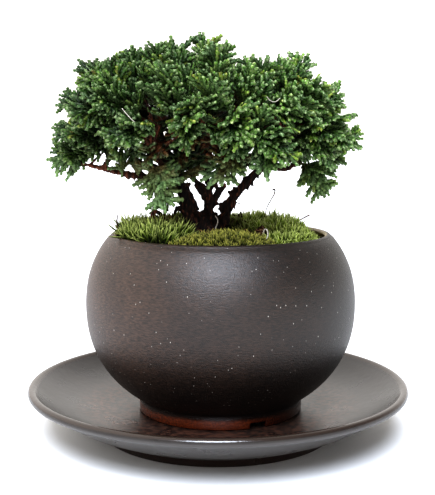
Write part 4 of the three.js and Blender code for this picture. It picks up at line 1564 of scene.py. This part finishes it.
class BONSAI_OT_moss(bpy.types.Operator):
    """Grows the five moss cushions"""

    bl_idname = "bonsai.moss"
    bl_label = "Moss"

    def execute(self, context):
        fine = context.scene.bonsai.moss_shoots
        finish = {
            kind: moss_leaf(name, *(linear(c) for c in colours))
            for kind, (name, *colours) in MOSSES.items()
        }
        for name, (kind, share, *shoots) in MATS.items():
            mesh = moss_mesh(name, int(fine * share), *shoots)
            new_piece("shoots_" + name, mesh, finish[kind], [name])
        return {"FINISHED"}


class BONSAI_OT_litter(bpy.types.Operator):
    """Lays the bark chip, dead twigs, stalks and root fibres among the moss"""

    bl_idname = "bonsai.litter"
    bl_label = "Litter"

    def execute(self, context):
        settings = context.scene.bonsai
        brown = bark(settings)
        bm = merged_copy("bark_chip")
        bmesh.ops.subdivide_edges(
            bm, edges=bm.edges[:], cuts=5, use_grid_fill=True, fractal=0.0
        )
        bmesh.ops.triangulate(bm, faces=bm.faces[:])
        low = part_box("bark_chip")[0][2]
        for v in bm.verts:
            x, y, z = v.co / MM
            v.co += v.normal * MM * 0.5 * noise.noise(Vector((x * 0.8, y * 0.8, z * 0.8)))
            v.co.z = low + (v.co.z - low) * 1.25
        new_piece("flake_of_bark", mesh_from(bm, "flake", 1), torn_bark(), ["bark_chip"])
        new_piece("fallen_leaves", fallen_mesh("fallen_leaves"), dry_leaves())
        twigs = [strand(*twig) for twig in TWIGS]
        new_piece("dead_twigs", joined(twigs, "dead_twigs"), brown)
        fibres = [strand(*fibre) for fibre in FIBRES]
        fibres += [strand(caught(points), radius, radius) for points, radius in CAUGHT_FIBRES]
        new_piece("root_fibres", joined(fibres, "root_fibres"), root_thread())
        return {"FINISHED"}


class BONSAI_OT_stage(bpy.types.Operator):
    """Sets the floor, the soft lights and the camera"""

    bl_idname = "bonsai.stage"
    bl_label = "Stage"

    def execute(self, context):
        settings = context.scene.bonsai
        scene = context.scene
        bm = bmesh.new()
        bmesh.ops.create_grid(bm, x_segments=1, y_segments=1, size=FLOOR_HALF)
        mesh = mesh_from(bm, "floor", 1)
        dress(mesh, studio_floor(settings))
        floor = placed("floor", mesh)

        # white paper behind and beside the object, a dim room in front and above
        world = bpy.data.worlds.new("Studio")
        world.use_nodes = True
        add = partial(add_node, world.node_tree)
        way = add("SeparateXYZ", {"Vector": add("TexCoord").outputs["Generated"]})
        lean = add("Math", {0: way, 1: -1.0, 2: way.outputs["Y"]}, operation="MULTIPLY_ADD")
        room = add("MapRange", {
            "Value": lean, "From Min": -0.5, "From Max": 0.5,
            "To Min": settings.room_light, "To Max": settings.paper_light,
        })
        high = add("MapRange", {"Value": way.outputs["Z"], "From Min": 0.18, "From Max": 0.32})
        strength = add("Mix", {0: high, 2: 1.08, 3: room})
        background = world.node_tree.nodes["Background"]
        feed(background, {"Strength": strength, "Color": linear("#fffcf8")})
        scene.world = world
        scene.view_settings.view_transform = "Standard"
        scene.view_settings.look = "High Contrast"

        light = bpy.data.lights.new("window", "SUN")
        light.energy = settings.light_power
        light.angle = math.radians(SUN_ANGLE)
        light.color = linear("#e8f1ff")
        lamp = placed("window", light)
        lamp.rotation_euler = Vector(SUN_WAY).to_track_quat("-Z", "Y").to_euler()

        camera = bpy.data.cameras.new("camera")
        camera.sensor_width = 36
        camera.lens = LENS_SHARE * camera.sensor_width
        camera.shift_x = EYE_SHIFT
        eye = placed("camera", camera)
        eye.location = EYE
        eye.rotation_euler = (math.pi / 2 - EYE_DOWN, 0, 0)
        scene.camera = eye
        return {"FINISHED"}


PIECES = (
    BONSAI_OT_saucer,
    BONSAI_OT_pot,
    BONSAI_OT_soil,
    BONSAI_OT_wood,
    BONSAI_OT_foliage,
    BONSAI_OT_moss,
    BONSAI_OT_litter,
    BONSAI_OT_stage,
)


class BONSAI_PT_panel(bpy.types.Panel):
    """Settings and steps of the bonsai"""

    bl_idname = "BONSAI_PT_panel"
    bl_label = "Hinoki Bonsai"
    bl_space_type = "VIEW_3D"
    bl_region_type = "UI"
    bl_category = "Bonsai"

    def draw(self, context):
        settings = context.scene.bonsai
        for name in BonsaiSettings.__annotations__:
            self.layout.prop(settings, name)
        for piece in PIECES:
            self.layout.operator(piece.bl_idname)


def register():
    for each in (BonsaiSettings, *PIECES, BONSAI_PT_panel):
        bpy.utils.register_class(each)
    bpy.types.Scene.bonsai = PointerProperty(type=BonsaiSettings)


def unregister():
    del bpy.types.Scene.bonsai
    for each in reversed((BonsaiSettings, *PIECES, BONSAI_PT_panel)):
        bpy.utils.unregister_class(each)


def main():
    register()
    bpy.ops.bonsai.saucer()
    bpy.ops.bonsai.pot()
    bpy.ops.bonsai.soil()
    bpy.ops.bonsai.wood()
    bpy.ops.bonsai.foliage()
    bpy.ops.bonsai.moss()
    bpy.ops.bonsai.litter()
    bpy.ops.bonsai.stage()


if __name__ == "__main__":
    main()
